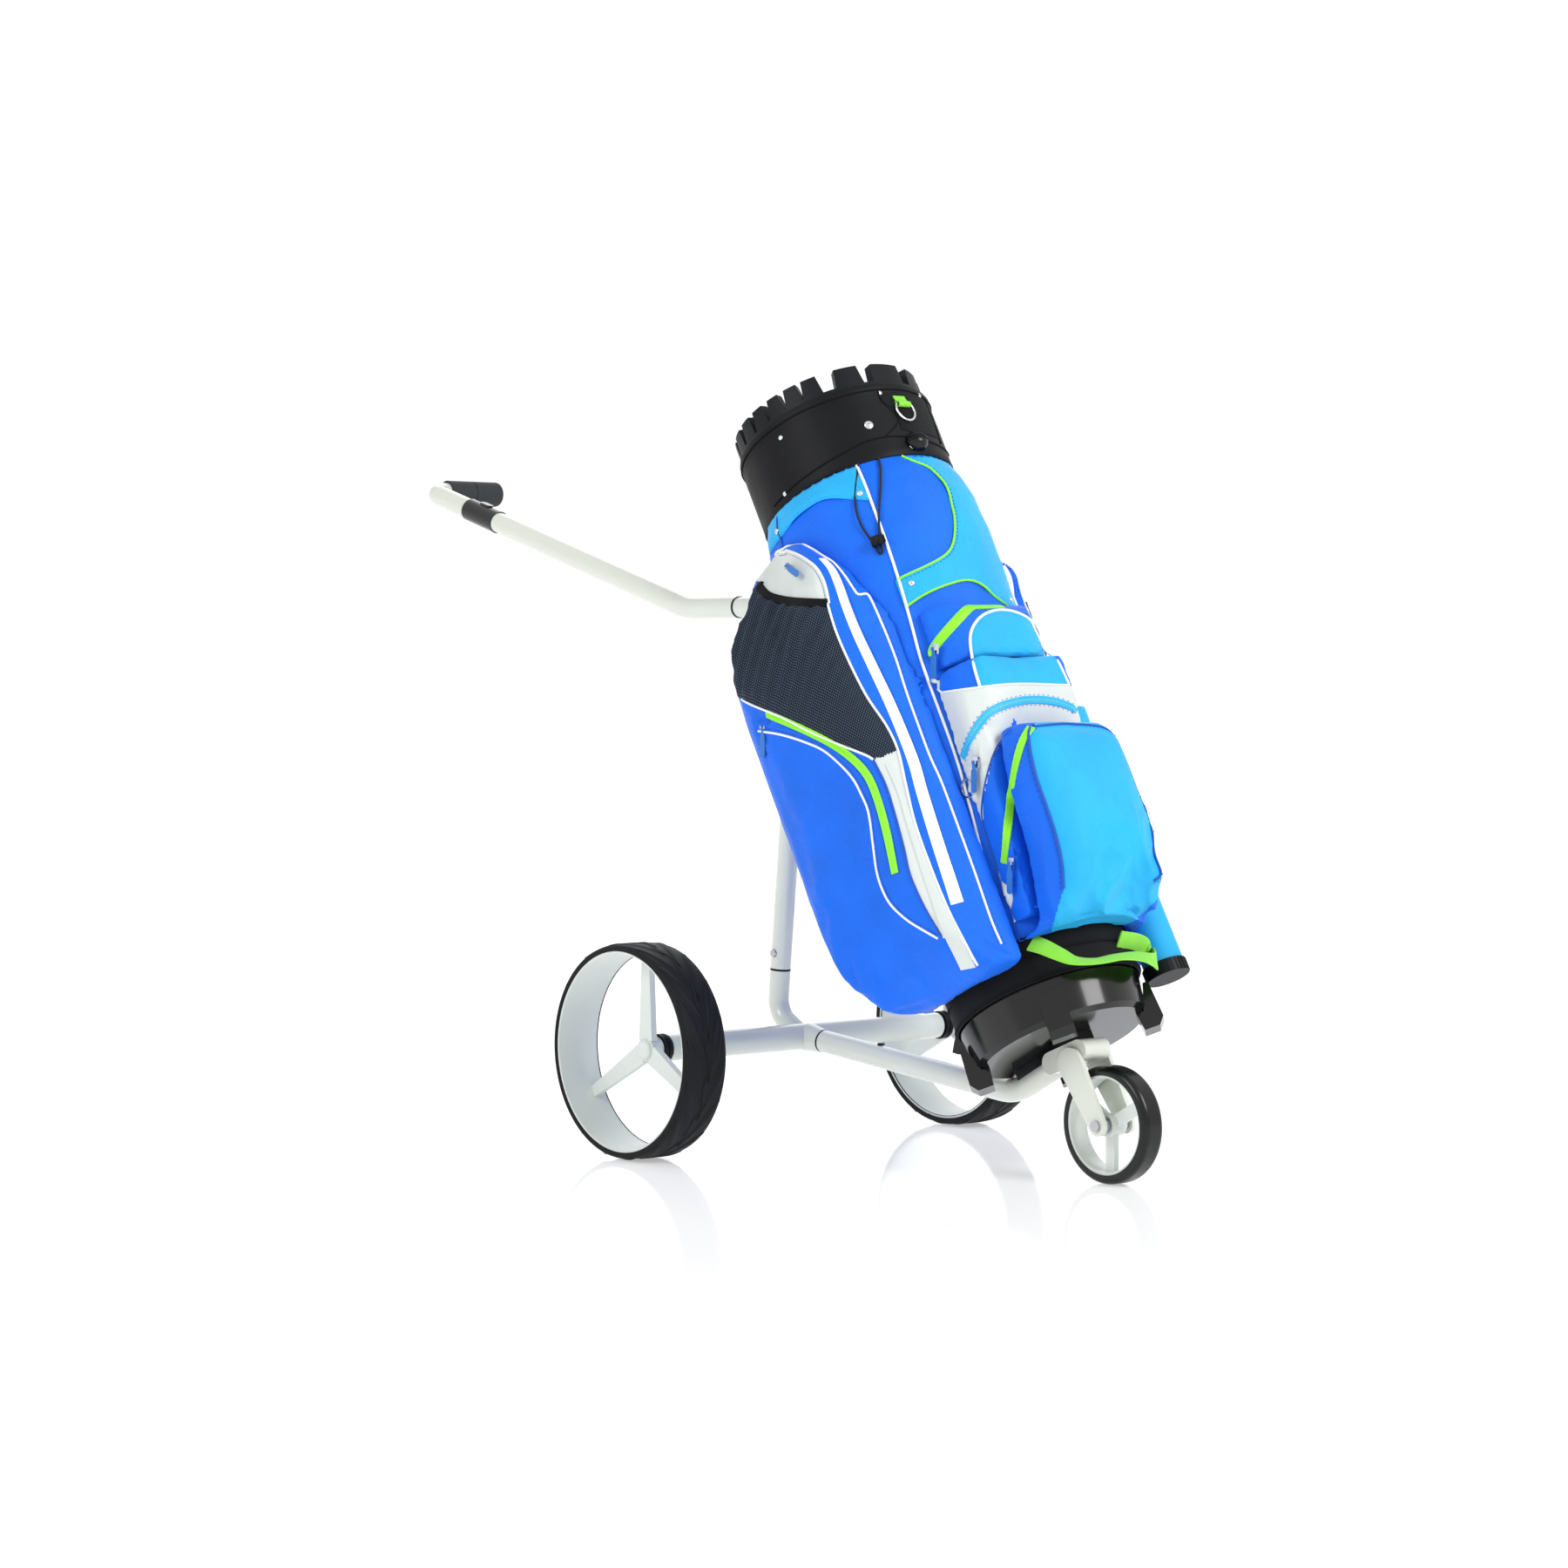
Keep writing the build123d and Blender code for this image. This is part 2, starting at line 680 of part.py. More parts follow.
def organizer_top():
    """Moulded ring with club notches between its teeth, and ribs over the dividers."""
    inner = neck_r - ring_wall
    shape = turned([(inner, trunk_top + 0.3), (neck_r - 0.2, trunk_top + 0.3), (neck_r - 0.2, ring_floor),
                    (inner, ring_floor)])
    blank = turned([(neck_r - tooth_t, ring_floor - 2), (neck_r - 0.2, ring_floor - 2),
                    (neck_r - 0.2, tooth_top), (neck_r - tooth_t, tooth_top)])
    blank += turned([(neck_r - tooth_t, ring_floor - rib_h), (inner + 1, ring_floor - rib_h),
                     (inner + 1, ring_floor), (neck_r - tooth_t, ring_floor)])
    for angle, width in teeth:
        half_low = math.radians(width / 2 + 1.5) * neck_r
        half_top = math.radians(width / 2 - 1.0) * neck_r
        face = make_face(Polyline((0, -half_low, ring_floor - rib_h), (0, half_low, ring_floor - rib_h),
                                  (0, half_top, tooth_top + 1), (0, -half_top, tooth_top + 1), close=True))
        block = extrude(face, amount=neck_r + 20, dir=(1, 0, 0))
        for side in ((1, -1) if angle else (1,)):
            shape += (Rot(0, 0, side * angle) * block) & blank
    rib_z = ring_floor - rib_h / 2
    reach = inner + 2
    shape += Pos(0, 0, rib_z) * Box(2 * reach, rib_w, rib_h)
    for u in (-well_pitch, well_pitch):
        shape += Pos(u, 0, rib_z) * Box(rib_w, 2 * math.sqrt(reach ** 2 - well_pitch ** 2), rib_h)
    return shape


def collar():
    """Black leatherette band around the neck and the organizer ring."""
    return turned([(neck_r, neck_start), (neck_r + collar_t, neck_start), (neck_r + collar_t, collar_top),
                   (neck_r, collar_top)])


def side_pocket_blank():
    """The whole left side pocket before it is divided."""
    plan = Polyline((60, ball_half_w + 0.5), (side_front, 100), (side_front - 2, 138),
                    (66, 172), (20, 194), (-60, side_out), (-120, side_out), (side_rear, 180),
                    (side_rear, 90), (-118, side_inner), close=True)
    body = extrude(make_face(plan), amount=800)
    long_side = [(-145, 530), (-145, 245), (-132, 160), (-104, 104), (-40, 84), (60, 74), (94, 80),
                 (94, 560), (66, 655), (24, 712), (-30, 736), (-84, 712), (-122, 640)]
    body &= plate_xz(long_side, 0, 300)
    cross = Polyline((0, 60, 60), (0, 150, 64), (0, 172, 110), (0, 192, 180), (0, side_out, 260),
                     (0, side_out, 560), (0, 186, 640), (0, 160, 712), (0, 130, 745), (0, 60, 745),
                     close=True)
    body &= extrude(make_face(cross), amount=400, dir=(1, 0, 0), both=True)
    body -= trunk_space()
    keep_out = Pos(putter_u, putter_v, 0) * extrude(Circle(putter_r + body_gap), amount=collar_top)
    return body, keep_out


def mesh_cut():
    """The sloping line where the mesh pocket meets the zipped lower pocket."""
    return [(-160, 556), (-60, 478), (30, 400), (100, 300), (160, 200), (160, 900), (-160, 900)]


def side_pocket(left):
    """Zipped lower pocket on one side of the bag."""
    body, keep_out = side_pocket_blank()
    body -= plate_xz(mesh_cut(), 0, 300)
    return body - keep_out if left else mirrored(body)


def mesh_pocket(left):
    """Upper side panel with the mesh pouch and the top compartment."""
    body, keep_out = side_pocket_blank()
    body &= plate_xz([(u, s + 0.2) for u, s in mesh_cut()], 0, 300)
    return body - keep_out if left else mirrored(body)


def front_block(profile, plan):
    """A front pocket: side profile in (u, s) crossed with a plan in (u, v)."""
    half = [(u, v) for u, v in plan]
    outline = half + [(u, -v) for u, v in reversed(plan)]
    body = extrude(make_face(Polyline(*outline, close=True)), amount=800)
    return (body & plate_xz(profile, -150, 150)) - trunk_space()


def ball_pocket():
    """Big zipped ball pocket at the front."""
    profile = [(60, ball_bottom), (122, ball_bottom), (178, 122), (202, 146), (ball_front, 190),
               (ball_front, 262), (206, 318), (188, 344), (160, ball_top), (60, ball_top)]
    plan = [(60, ball_half_w), (112, ball_half_w), (186, 88), (206, 70), (ball_front, 40)]
    return front_block(profile, plan) - mid_pocket(0.3)


def mid_pocket(grow=0.0):
    """Flat pocket behind and above the ball pocket."""
    profile = [(60, 126 - grow), (116 + grow, 126 - grow), (132 + grow, 250), (146 + grow, ball_top + 2),
               (166 + grow, 400), (172 + grow, mid_top), (60, mid_top)]
    half = mid_half_w + grow
    plan = [(60, half), (136, half), (168, 78), (176, 40)]
    return front_block(profile, plan)


def upper_pocket():
    """Small arched pocket above the flat one."""
    low = mid_top + 0.3
    profile = [(60, low), (170, low), (166, 500), (156, 534), (140, upper_top), (60, upper_top)]
    plan = [(60, upper_half_w), (118, upper_half_w), (150, 70), (164, 40)]
    return front_block(profile, plan)


def putter_tube():
    """Fabric-covered tube for the putter, open at the top."""
    tube = extrude(Circle(putter_r) - Circle(putter_r - putter_wall), amount=putter_top - putter_bottom)
    return (Pos(putter_u, putter_v, putter_bottom) * tube) - trunk_space()


def putter_cap():
    """Ribbed round cap under the putter tube."""
    cap = extrude(Circle(putter_cap_r), amount=putter_cap_h - 0.2)
    shape = Pos(putter_u, putter_v, putter_bottom - putter_cap_h) * cap
    return shape - turned([(0, 0), (band_r + band_t + 0.5, 0), (band_r + band_t + 0.5, 120), (0, 120)])


def grab_strap():
    """Webbing handle low on the bag's front."""
    path = ThreePointArc((97, -76, 96), (144, 0, 60), (97, 76, 96))
    section = Plane(origin=path @ 0, x_dir=(0, 0, 1), z_dir=path % 0) * Rectangle(24, 2.4)
    return sweep(section, path=path) - trunk_space() - ball_pocket() - lower_band()


# ---------------------------------------------------------------------------
# Collar trim and cord
# ---------------------------------------------------------------------------
def d_ring_place():
    """The bar of the towel ring: distance in front of the axis and height."""
    return neck_r + collar_t + 3.4, 852.0


def d_ring():
    """Round wire ring with a straight bar at its top."""
    u, s = d_ring_place()
    half = d_ring_r * 0.8
    drop = d_ring_r * 0.6
    centre = s - drop
    arc = CenterArc((0, 0), d_ring_r, 37 + 106, 254)
    plane = Plane(origin=(u, 0, centre), x_dir=(0, 1, 0), z_dir=(1, 0, 0))
    bow_path = plane * arc
    bow = sweep(Plane(origin=bow_path @ 0, z_dir=bow_path % 0) * Circle(wire_r), path=bow_path)
    bar = rod((u, -half, s), (u, half, s), wire_r)
    ends = [Pos(u, side * half, s) * Sphere(wire_r) for side in (-1, 1)]
    return bow + bar + ends[0] + ends[1]


def ring_loop():
    """Webbing loop that holds the towel ring on the collar."""
    u, s = d_ring_place()
    bore = wire_r + running_gap
    back = neck_r + collar_t
    eye = extrude(Plane(origin=(0, -9, 0), x_dir=(1, 0, 0), z_dir=(0, 1, 0))
                  * (Pos(u, -s) * Circle(bore + 1.4)), amount=18)
    tail = Pos((u + back) / 2 - 0.2, 0, s + 7) * Box(u - back + 1.2, 18, 12)
    shape = eye + tail
    shape -= extrude(Plane(origin=(0, -10, 0), x_dir=(1, 0, 0), z_dir=(0, 1, 0))
                     * (Pos(u, -s) * Circle(bore)), amount=20)
    return shape - turned([(0, 700), (back + 0.1, 700), (back + 0.1, 920), (0, 920)])


def carry_knob():
    """Rounded rubber end of the front carry handle, riveted to the collar."""
    back = neck_r + collar_t
    knob = Pos(back + 8, 0, 797) * Sphere(13) + Pos(back + 2, 0, 792) * Box(14, 40, 18)
    return knob - turned([(0, 700), (back + 0.1, 700), (back + 0.1, 920), (0, 920)])


cord_route = [(99.9, -83.0, 780.2), (100.5, -88.9, 768), (98.3, -100.0, 748), (93.7, -109.7, 722),
              (92.7, -112.4, 694), (96.7, -109.7, 672), (99.2, -107.1, 657), (99.4, -106.6, 645),
              (104.2, -102.0, 645), (104.7, -101.8, 657), (107.3, -99.4, 674), (112.5, -92.1, 700),
              (118.5, -81.8, 728), (119.8, -70.9, 753), (117.7, -63.1, 770), (115.2, -60.0, 780.2)]


def cord_lock():
    """Spring toggle on the cord: a barrel across the two strands with its button."""
    turn = -45.7
    barrel = Cylinder(7.5, 15) + Pos(0, 0, 9) * Cylinder(5.5, 5)
    return Rot(0, 0, turn) * Pos(151.0, 0, 661) * Rot(-90, 0, 0) * barrel


# ---------------------------------------------------------------------------
# Zip sliders and pulls
# ---------------------------------------------------------------------------
hang = Vector(-math.sin(tilt), 0, -math.cos(tilt))
zips = {
    "ball": (Vector(118, -97, 196), Vector(0, -1, 0), hang),
    "mid": (Vector(122, -97, 334), Vector(0, -1, 0), hang),
    "upper": (Vector(124, -95, 494), Vector(0, -1, 0), hang),
    "side_right": (Vector(-104, -200, 506), Vector(0, -1, 0), hang),
    "side_left": (Vector(-104, 200, 506), Vector(0, 1, 0), hang),
    "top_right": (Vector(8, -172.9, 678), Vector(0, -0.94, 0.342), Vector(0.64, -0.263, -0.722)),
    "top_left": (Vector(8, 172.9, 678), Vector(0, 0.94, 0.342), Vector(0.64, 0.263, -0.722)),
}


def zip_plane(place):
    """Local frame of a zip slider: x along the pull, z away from the fabric."""
    origin, normal, along = zips[place]
    return Plane(origin=origin, x_dir=along, z_dir=normal)


def zip_slider(place):
    """Slider body with two ears and the pin that the pull hangs on."""
    body = Pos(0, 0, slider_base / 2 + slider_lift) * Box(slider_len, slider_w, slider_base)
    for side in (-1, 1):
        body += Pos(0, side * (slider_w / 2 - 0.8), (pin_up + 1.6) / 2) * Box(4, 1.6, pin_up + 1.0)
    pin = Pos(0, 0, pin_up) * Rot(90, 0, 0) * Cylinder(pin_r, slider_w - 0.4)
    return zip_plane(place).location * (body + pin)


def zip_pull(place):
    """Flat pull with an eye around the slider's pin."""
    eye = Pos(0, 0, pin_up) * Rot(90, 0, 0) * Cylinder(pin_r + eye_wall, slider_w - 4.4)
    neck = Pos(6, 0, pin_up) * Box(10, slider_w - 4.4, pull_t)
    blade = Pos(8 + pull_len / 2, 0, pin_up) * extrude(SlotOverall(pull_len, pull_w), amount=pull_t / 2,
                                                     both=True)
    hole = Pos(0, 0, pin_up) * Rot(90, 0, 0) * Cylinder(pin_r + running_gap, slider_w)
    return zip_plane(place).location * (eye + neck + blade - hole)


def cord():
    """Elastic rain-hood cord that loops down from the collar through its toggle."""
    points = [Vector(*p) for p in cord_route]
    radii = []
    for before, here, after in zip(points, points[1:], points[2:]):
        first, second = here - before, after - here
        turn = math.radians(first.get_angle(second))
        radii.append(0.45 * min(first.length, second.length) / math.tan(turn / 2))
    print("cord radii", [round(r, 1) for r in radii])
    route = FilletPolyline(*points, radius=radii)
    print("cord length", round(route.length, 1))
    return sweep(Plane(origin=route @ 0, z_dir=route % 0) * Circle(cord_r), path=route)


def build():
    """Makes every node, in the cart's frame."""
    cart = {
        "crossbar": crossbar(), "forward_socket": forward_socket(), "forward_tube": forward_tube(),
        "forward_button": forward_button(), "fork": fork(), "elbow": elbow(),
        "upright_tube": upright_tube(), "upright_button": upright_button(), "joint_rings": joint_rings(),
        "bag_cradle": bag_cradle(), "saddle_pad": saddle_pad(), "handle_tube": handle_tube(),
        "handle_sleeve": handle_sleeve(), "sleeve_button": sleeve_button(), "grip_tube": grip_tube(),
        "grip": grip(), "front_rim": front_rim(), "front_tyre": front_tyre(),
        "front_bearings": front_bearings(), "front_axle_set": front_axle_set(),
    }
    wheel_parts = {"rear_rim": rear_rim, "rear_tyre": rear_tyre, "hub_bearings": hub_bearings,
                   "coupling_ring": coupling_ring, "axle_stub": axle_stub}
    for name, maker in wheel_parts.items():
        cart[name + "_left"] = maker()
        cart[name + "_right"] = mirrored(maker())
    bag = {
        "bag_base": bag_base(), "base_feet": base_feet(), "trunk": trunk(), "lower_band": lower_band(),
        "dividers": dividers(), "organizer_top": organizer_top(), "collar": collar(),
        "side_pocket_left": side_pocket(True), "side_pocket_right": side_pocket(False),
        "mesh_pocket_left": mesh_pocket(True), "mesh_pocket_right": mesh_pocket(False),
        "ball_pocket": ball_pocket(), "mid_pocket": mid_pocket(), "upper_pocket": upper_pocket(),
        "putter_tube": putter_tube(), "putter_cap": putter_cap(), "grab_strap": grab_strap(),
        "ring_loop": ring_loop(), "towel_ring": d_ring(), "carry_knob": carry_knob(),
        "hood_cord": cord(), "cord_lock": cord_lock(),
        "zip_sliders": group([zip_slider(place) for place in zips]),
    }
    for place in zips:
        bag["zip_pull_" + place] = zip_pull(place)
    shapes = dict(cart)
    for name, shape in bag.items():
        shapes[name] = on_bag(shape)
    return shapes


os.makedirs("parts", exist_ok=True)
for node_name, node_shape in build().items():
    export_step(Pos(x_shift, 0, 0) * node_shape, "parts/" + node_name + ".step")
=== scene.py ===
import math

import bmesh
import bpy
import numpy as np
from bpy.props import FloatProperty, FloatVectorProperty, IntProperty, PointerProperty
from mathutils import Matrix, Vector, noise
from mathutils.bvhtree import BVHTree
from mathutils.kdtree import KDTree


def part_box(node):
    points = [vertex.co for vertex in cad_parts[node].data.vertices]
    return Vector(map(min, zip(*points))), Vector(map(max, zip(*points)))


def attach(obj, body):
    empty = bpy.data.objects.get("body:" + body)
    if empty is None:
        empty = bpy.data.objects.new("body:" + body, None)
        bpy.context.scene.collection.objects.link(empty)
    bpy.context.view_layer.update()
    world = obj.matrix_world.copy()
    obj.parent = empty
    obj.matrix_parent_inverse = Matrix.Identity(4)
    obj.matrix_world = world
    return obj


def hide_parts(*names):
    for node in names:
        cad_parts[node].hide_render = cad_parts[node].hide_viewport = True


bl_info = {
    "name": "Cart bag and push cart",
    "version": (1, 0, 0),
    "blender": (4, 5, 0),
    "location": "3D View > Sidebar > Cart Bag",
    "description": "Dresses the packed push cart and its golf bag with fabric, trim, tread and finishes",
    "category": "Object",
}

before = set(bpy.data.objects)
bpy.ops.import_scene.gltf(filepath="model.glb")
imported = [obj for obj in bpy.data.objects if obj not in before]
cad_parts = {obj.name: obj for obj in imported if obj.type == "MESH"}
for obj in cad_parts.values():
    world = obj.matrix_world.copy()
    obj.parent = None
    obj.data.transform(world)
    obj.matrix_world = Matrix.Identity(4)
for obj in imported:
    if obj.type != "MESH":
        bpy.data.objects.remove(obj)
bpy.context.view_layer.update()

# The bag's own axes: u to its front, v to the cart's left, s up from its flat bottom, in millimetres
TILT = math.radians(29.0)
FOOT = Vector((0.59925, 0.0, 0.167))
FRONT = Vector((math.cos(TILT), 0.0, math.sin(TILT)))
LEFT = Vector((0.0, 1.0, 0.0))
UP = Vector((-math.sin(TILT), 0.0, math.cos(TILT)))
# Where a viewer stands, in front and to the right of the cart, and the directions of the view
EYE = Vector((3.93655, -3.3655, 0.6355))
VIEW_RIGHT = Vector((0.65636, 0.75445, 0.0))
VIEW_UP = Vector((-0.02312, 0.02011, 0.99953))
VIEW_AHEAD = Vector((-0.75409, 0.65605, -0.03064))
LENS = 87.2
MM = 0.001
AXLE_X = 0.11125


def linear(code):
    """sRGB hex to linear colour."""
    parts = [int(code[i:i + 2], 16) / 255 for i in (1, 3, 5)]
    return tuple(p / 12.92 if p <= 0.04045 else ((p + 0.055) / 1.055) ** 2.4 for p in parts)


# ---------------------------------------------------------------------------
# Places
# ---------------------------------------------------------------------------
def at(u, v, s):
    """World point from bag coordinates in millimetres."""
    return FOOT + (FRONT * u + LEFT * v + UP * s) * MM


def polar(phi, s, r):
    """World point at an angle round the bag's axis, a height and a distance from the axis."""
    a = math.radians(phi)
    return at(r * math.cos(a), r * math.sin(a), s)


def in_bag(co):
    """Bag coordinates in millimetres of an array of world points."""
    axes = np.array([FRONT, LEFT, UP])
    return (np.asarray(co) - np.array(FOOT)) @ axes.T / MM


def as_seen(co):
    """Flat coordinates of world points, looking from where the viewer stands."""
    d = np.asarray(co) - np.array(EYE)
    depth = d @ np.array(VIEW_AHEAD)
    return np.stack([d @ np.array(VIEW_RIGHT) / depth, d @ np.array(VIEW_UP) / depth], axis=1)


def inside(points, outline):
    """Which flat points lie inside an outline."""
    hit = np.zeros(len(points), bool)
    x, y = points[:, 0], points[:, 1]
    for (x1, y1), (x2, y2) in zip(outline, np.roll(outline, -1, axis=0)):
        if y1 == y2:
            continue
        cross = (y1 > y) != (y2 > y)
        hit ^= cross & (x < (x2 - x1) * (y - y1) / (y2 - y1) + x1)
    return hit


def resample(points, step):
    """Points at an even step along a smooth curve through the given ones."""
    pts = [Vector(p) for p in points]
    ends = [pts[0] * 2 - pts[1]] + pts + [pts[-1] * 2 - pts[-2]]
    fine = []
    for a, b, c, d in zip(ends, ends[1:], ends[2:], ends[3:]):
        for k in range(12):
            t = k / 12
            fine.append(0.5 * ((2 * b) + (c - a) * t + (2 * a - 5 * b + 4 * c - d) * t * t
                               + (3 * b - a - 3 * c + d) * t ** 3))
    fine.append(pts[-1])
    run = [0.0]
    for a, b in zip(fine, fine[1:]):
        run.append(run[-1] + (b - a).length)
    count = max(2, int(run[-1] / step) + 1)
    out, k = [], 0
    for i in range(count):
        want = run[-1] * i / (count - 1)
        while k < len(run) - 2 and run[k + 1] < want:
            k += 1
        span = run[k + 1] - run[k] or 1.0
        out.append(fine[k].lerp(fine[k + 1], (want - run[k]) / span))
    return out


# ---------------------------------------------------------------------------
# Meshes
# ---------------------------------------------------------------------------
def link(mesh, name, body, node=None):
    """Makes an object of a mesh and hangs it on a body, perhaps in place of CAD nodes."""
    obj = bpy.data.objects.new(name, mesh)
    bpy.context.scene.collection.objects.link(obj)
    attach(obj, body)
    if node:
        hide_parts(*([node] if isinstance(node, str) else node))
    return obj


def settle(obj):
    """Applies an object's modifiers to its mesh."""
    graph = bpy.context.evaluated_depsgraph_get()
    graph.update()
    mesh = bpy.data.meshes.new_from_object(obj.evaluated_get(graph))
    obj.modifiers.clear()
    obj.data = mesh
    return obj


class Work:
    """Collects several strips and patches into one mesh."""

    def __init__(self):
        self.verts, self.faces, self.kinds, self.materials = [], [], [], []

    def add(self, verts, faces, material):
        if material not in self.materials:
            self.materials.append(material)
        base = len(self.verts)
        self.verts += [tuple(v) for v in verts]
        self.faces += [[base + i for i in f] for f in faces]
        self.kinds += [self.materials.index(material)] * len(faces)

    def mesh(self, name, smooth=True):
        me = bpy.data.meshes.new(name)
        me.from_pydata(self.verts, [], self.faces)
        for m in self.materials:
            me.materials.append(m)
        me.polygons.foreach_set("material_index", self.kinds)
        me.polygons.foreach_set("use_smooth", [smooth] * len(me.polygons))
        bm = bmesh.new()
        bm.from_mesh(me)
        bmesh.ops.recalc_face_normals(bm, faces=bm.faces)
        for e in bm.edges:
            if len(e.link_faces) == 2 and e.calc_face_angle(0) > math.radians(40):
                e.smooth = False
        bm.to_mesh(me)
        bm.free()
        return me

    def tube(self, rings, material, closed=False, caps=True):
        """Joins rings of points into a skin."""
        n = len(rings[0])
        verts = [p for ring in rings for p in ring]
        pairs = list(zip(range(len(rings)), range(1, len(rings)))) + ([(len(rings) - 1, 0)] if closed else [])
        faces = [[a * n + i, a * n + (i + 1) % n, b * n + (i + 1) % n, b * n + i]
                 for a, b in pairs for i in range(n)]
        if caps and not closed:
            faces += [list(range(n))[::-1], [(len(rings) - 1) * n + i for i in range(n)]]
        self.add(verts, faces, material)

    def lathe(self, profile, material, place, segments=160, closed=True):
        """Turns a closed outline of (radius, height) round an axis; place gives the world point."""
        rings = [[place(360 * k / segments, s, r) for r, s in profile] for k in range(segments)]
        n = len(profile)
        verts = [p for ring in rings for p in ring]
        last = n if closed else n - 1
        faces = [[k * n + i, k * n + (i + 1) % n, ((k + 1) % segments) * n + (i + 1) % n,
                  ((k + 1) % segments) * n + i] for k in range(segments) for i in range(last)]
        self.add(verts, faces, material)

    def strip(self, track, width, thick, material, closed=False):
        """A flat band laid along a track; width is a number or one for each point."""
        rings = []
        for k, (p, n, t) in enumerate(track):
            w = (width[k] if isinstance(width, list) else width) / 2
            side = n.cross(t).normalized()
            outline = [(-w, -thick * 0.6), (-w, thick * 0.5), (-w * 0.86, thick), (w * 0.86, thick),
                       (w, thick * 0.5), (w, -thick * 0.6)]
            rings.append([p + side * x + n * z for x, z in outline])
        self.tube(rings, material, closed)

    def piping(self, track, radius, material, closed=False):
        """A round cord sewn along a track."""
        rings = []
        for p, n, t in track:
            side = n.cross(t).normalized()
            rings.append([p + side * math.cos(a) * radius + n * (math.sin(a) + 0.45) * radius
                          for a in [math.tau * i / 8 for i in range(8)]])
        self.tube(rings, material, closed)


class Skin:
    """A surface that trim is laid on."""

    def __init__(self, *objs):
        verts, faces = [], []
        for o in objs:
            base = len(verts)
            verts += [v.co.copy() for v in o.data.vertices]
            faces += [[base + i for i in p.vertices] for p in o.data.polygons]
        self.tree = BVHTree.FromPolygons(verts, faces)

    def cast(self, start, towards, reach):
        """Where a line from start through a point meets the skin, or the nearest place to the point."""
        d = (towards - start).normalized()
        hit, n, _, _ = self.tree.ray_cast(start, d)
        if hit is None or (hit - towards).length > reach:
            hit, n, _, _ = self.tree.find_nearest(towards)
        return hit, (n if n.dot(d) < 0 else -n)

    def seen(self, points, step=4 * MM, reach=0.06, lift=0.0):
        """A track along the skin, from points as the viewer sees them."""
        return track([self.cast(EYE, p, reach) for p in resample(points, step)], lift)

    def round(self, points, step=4 * MM, lift=0.0):
        """A track along the skin from points given as (angle, height)."""
        arc = resample([(phi * 2.4, s, 0.0) for phi, s in points], step / MM)
        return track([self.cast(polar(q.x / 2.4, q.y, 300), polar(q.x / 2.4, q.y, 120), 0.2) for q in arc], lift)


def track(hits, lift=0.0):
    """Places with evened normals and directions along them."""
    pts = [h[0] for h in hits]
    nrm = [h[1] for h in hits]
    for _ in range(3):
        nrm = [sum((nrm[max(0, min(len(nrm) - 1, i + k))] for k in (-2, -1, 0, 1, 2)), Vector()).normalized()
               for i in range(len(nrm))]
        mid = [(pts[i - 1] + pts[i] * 2 + pts[i + 1]) / 4 for i in range(1, len(pts) - 1)]
        pts = [pts[0]] + mid + [pts[-1]]
    out = []
    for i, (p, n) in enumerate(zip(pts, nrm)):
        t = (pts[min(i + 1, len(pts) - 1)] - pts[max(i - 1, 0)]).normalized()
        out.append((p + n * lift, n, t))
    return out


def mirrored(path, skin, lift=0.0):
    """The same track on the cart's other side, seated on the skin there."""
    hits = []
    for p, n, t in path:
        q, m = Vector((p.x, -p.y, p.z)), Vector((n.x, -n.y, n.z))
        hits.append(skin.cast(q + m * 0.03, q, 0.05))
    return track(hits, lift)


def beside(path, offset):
    """A track moved sideways."""
    return [(p + n.cross(t).normalized() * offset, n, t) for p, n, t in path]


# ---------------------------------------------------------------------------
# Node tools
# ---------------------------------------------------------------------------
def add(tree, kind, attrs=(), values=(), links=()):
    """Adds a node with its settings, its own socket values and its links."""
    n = tree.nodes.new(kind)
    for key, value in dict(attrs).items():
        setattr(n, key, value)
    for key, value in dict(values).items():
        n.inputs[key].default_value = value
    for key, source in dict(links).items():
        tree.links.new(source, n.inputs[key])
    return n


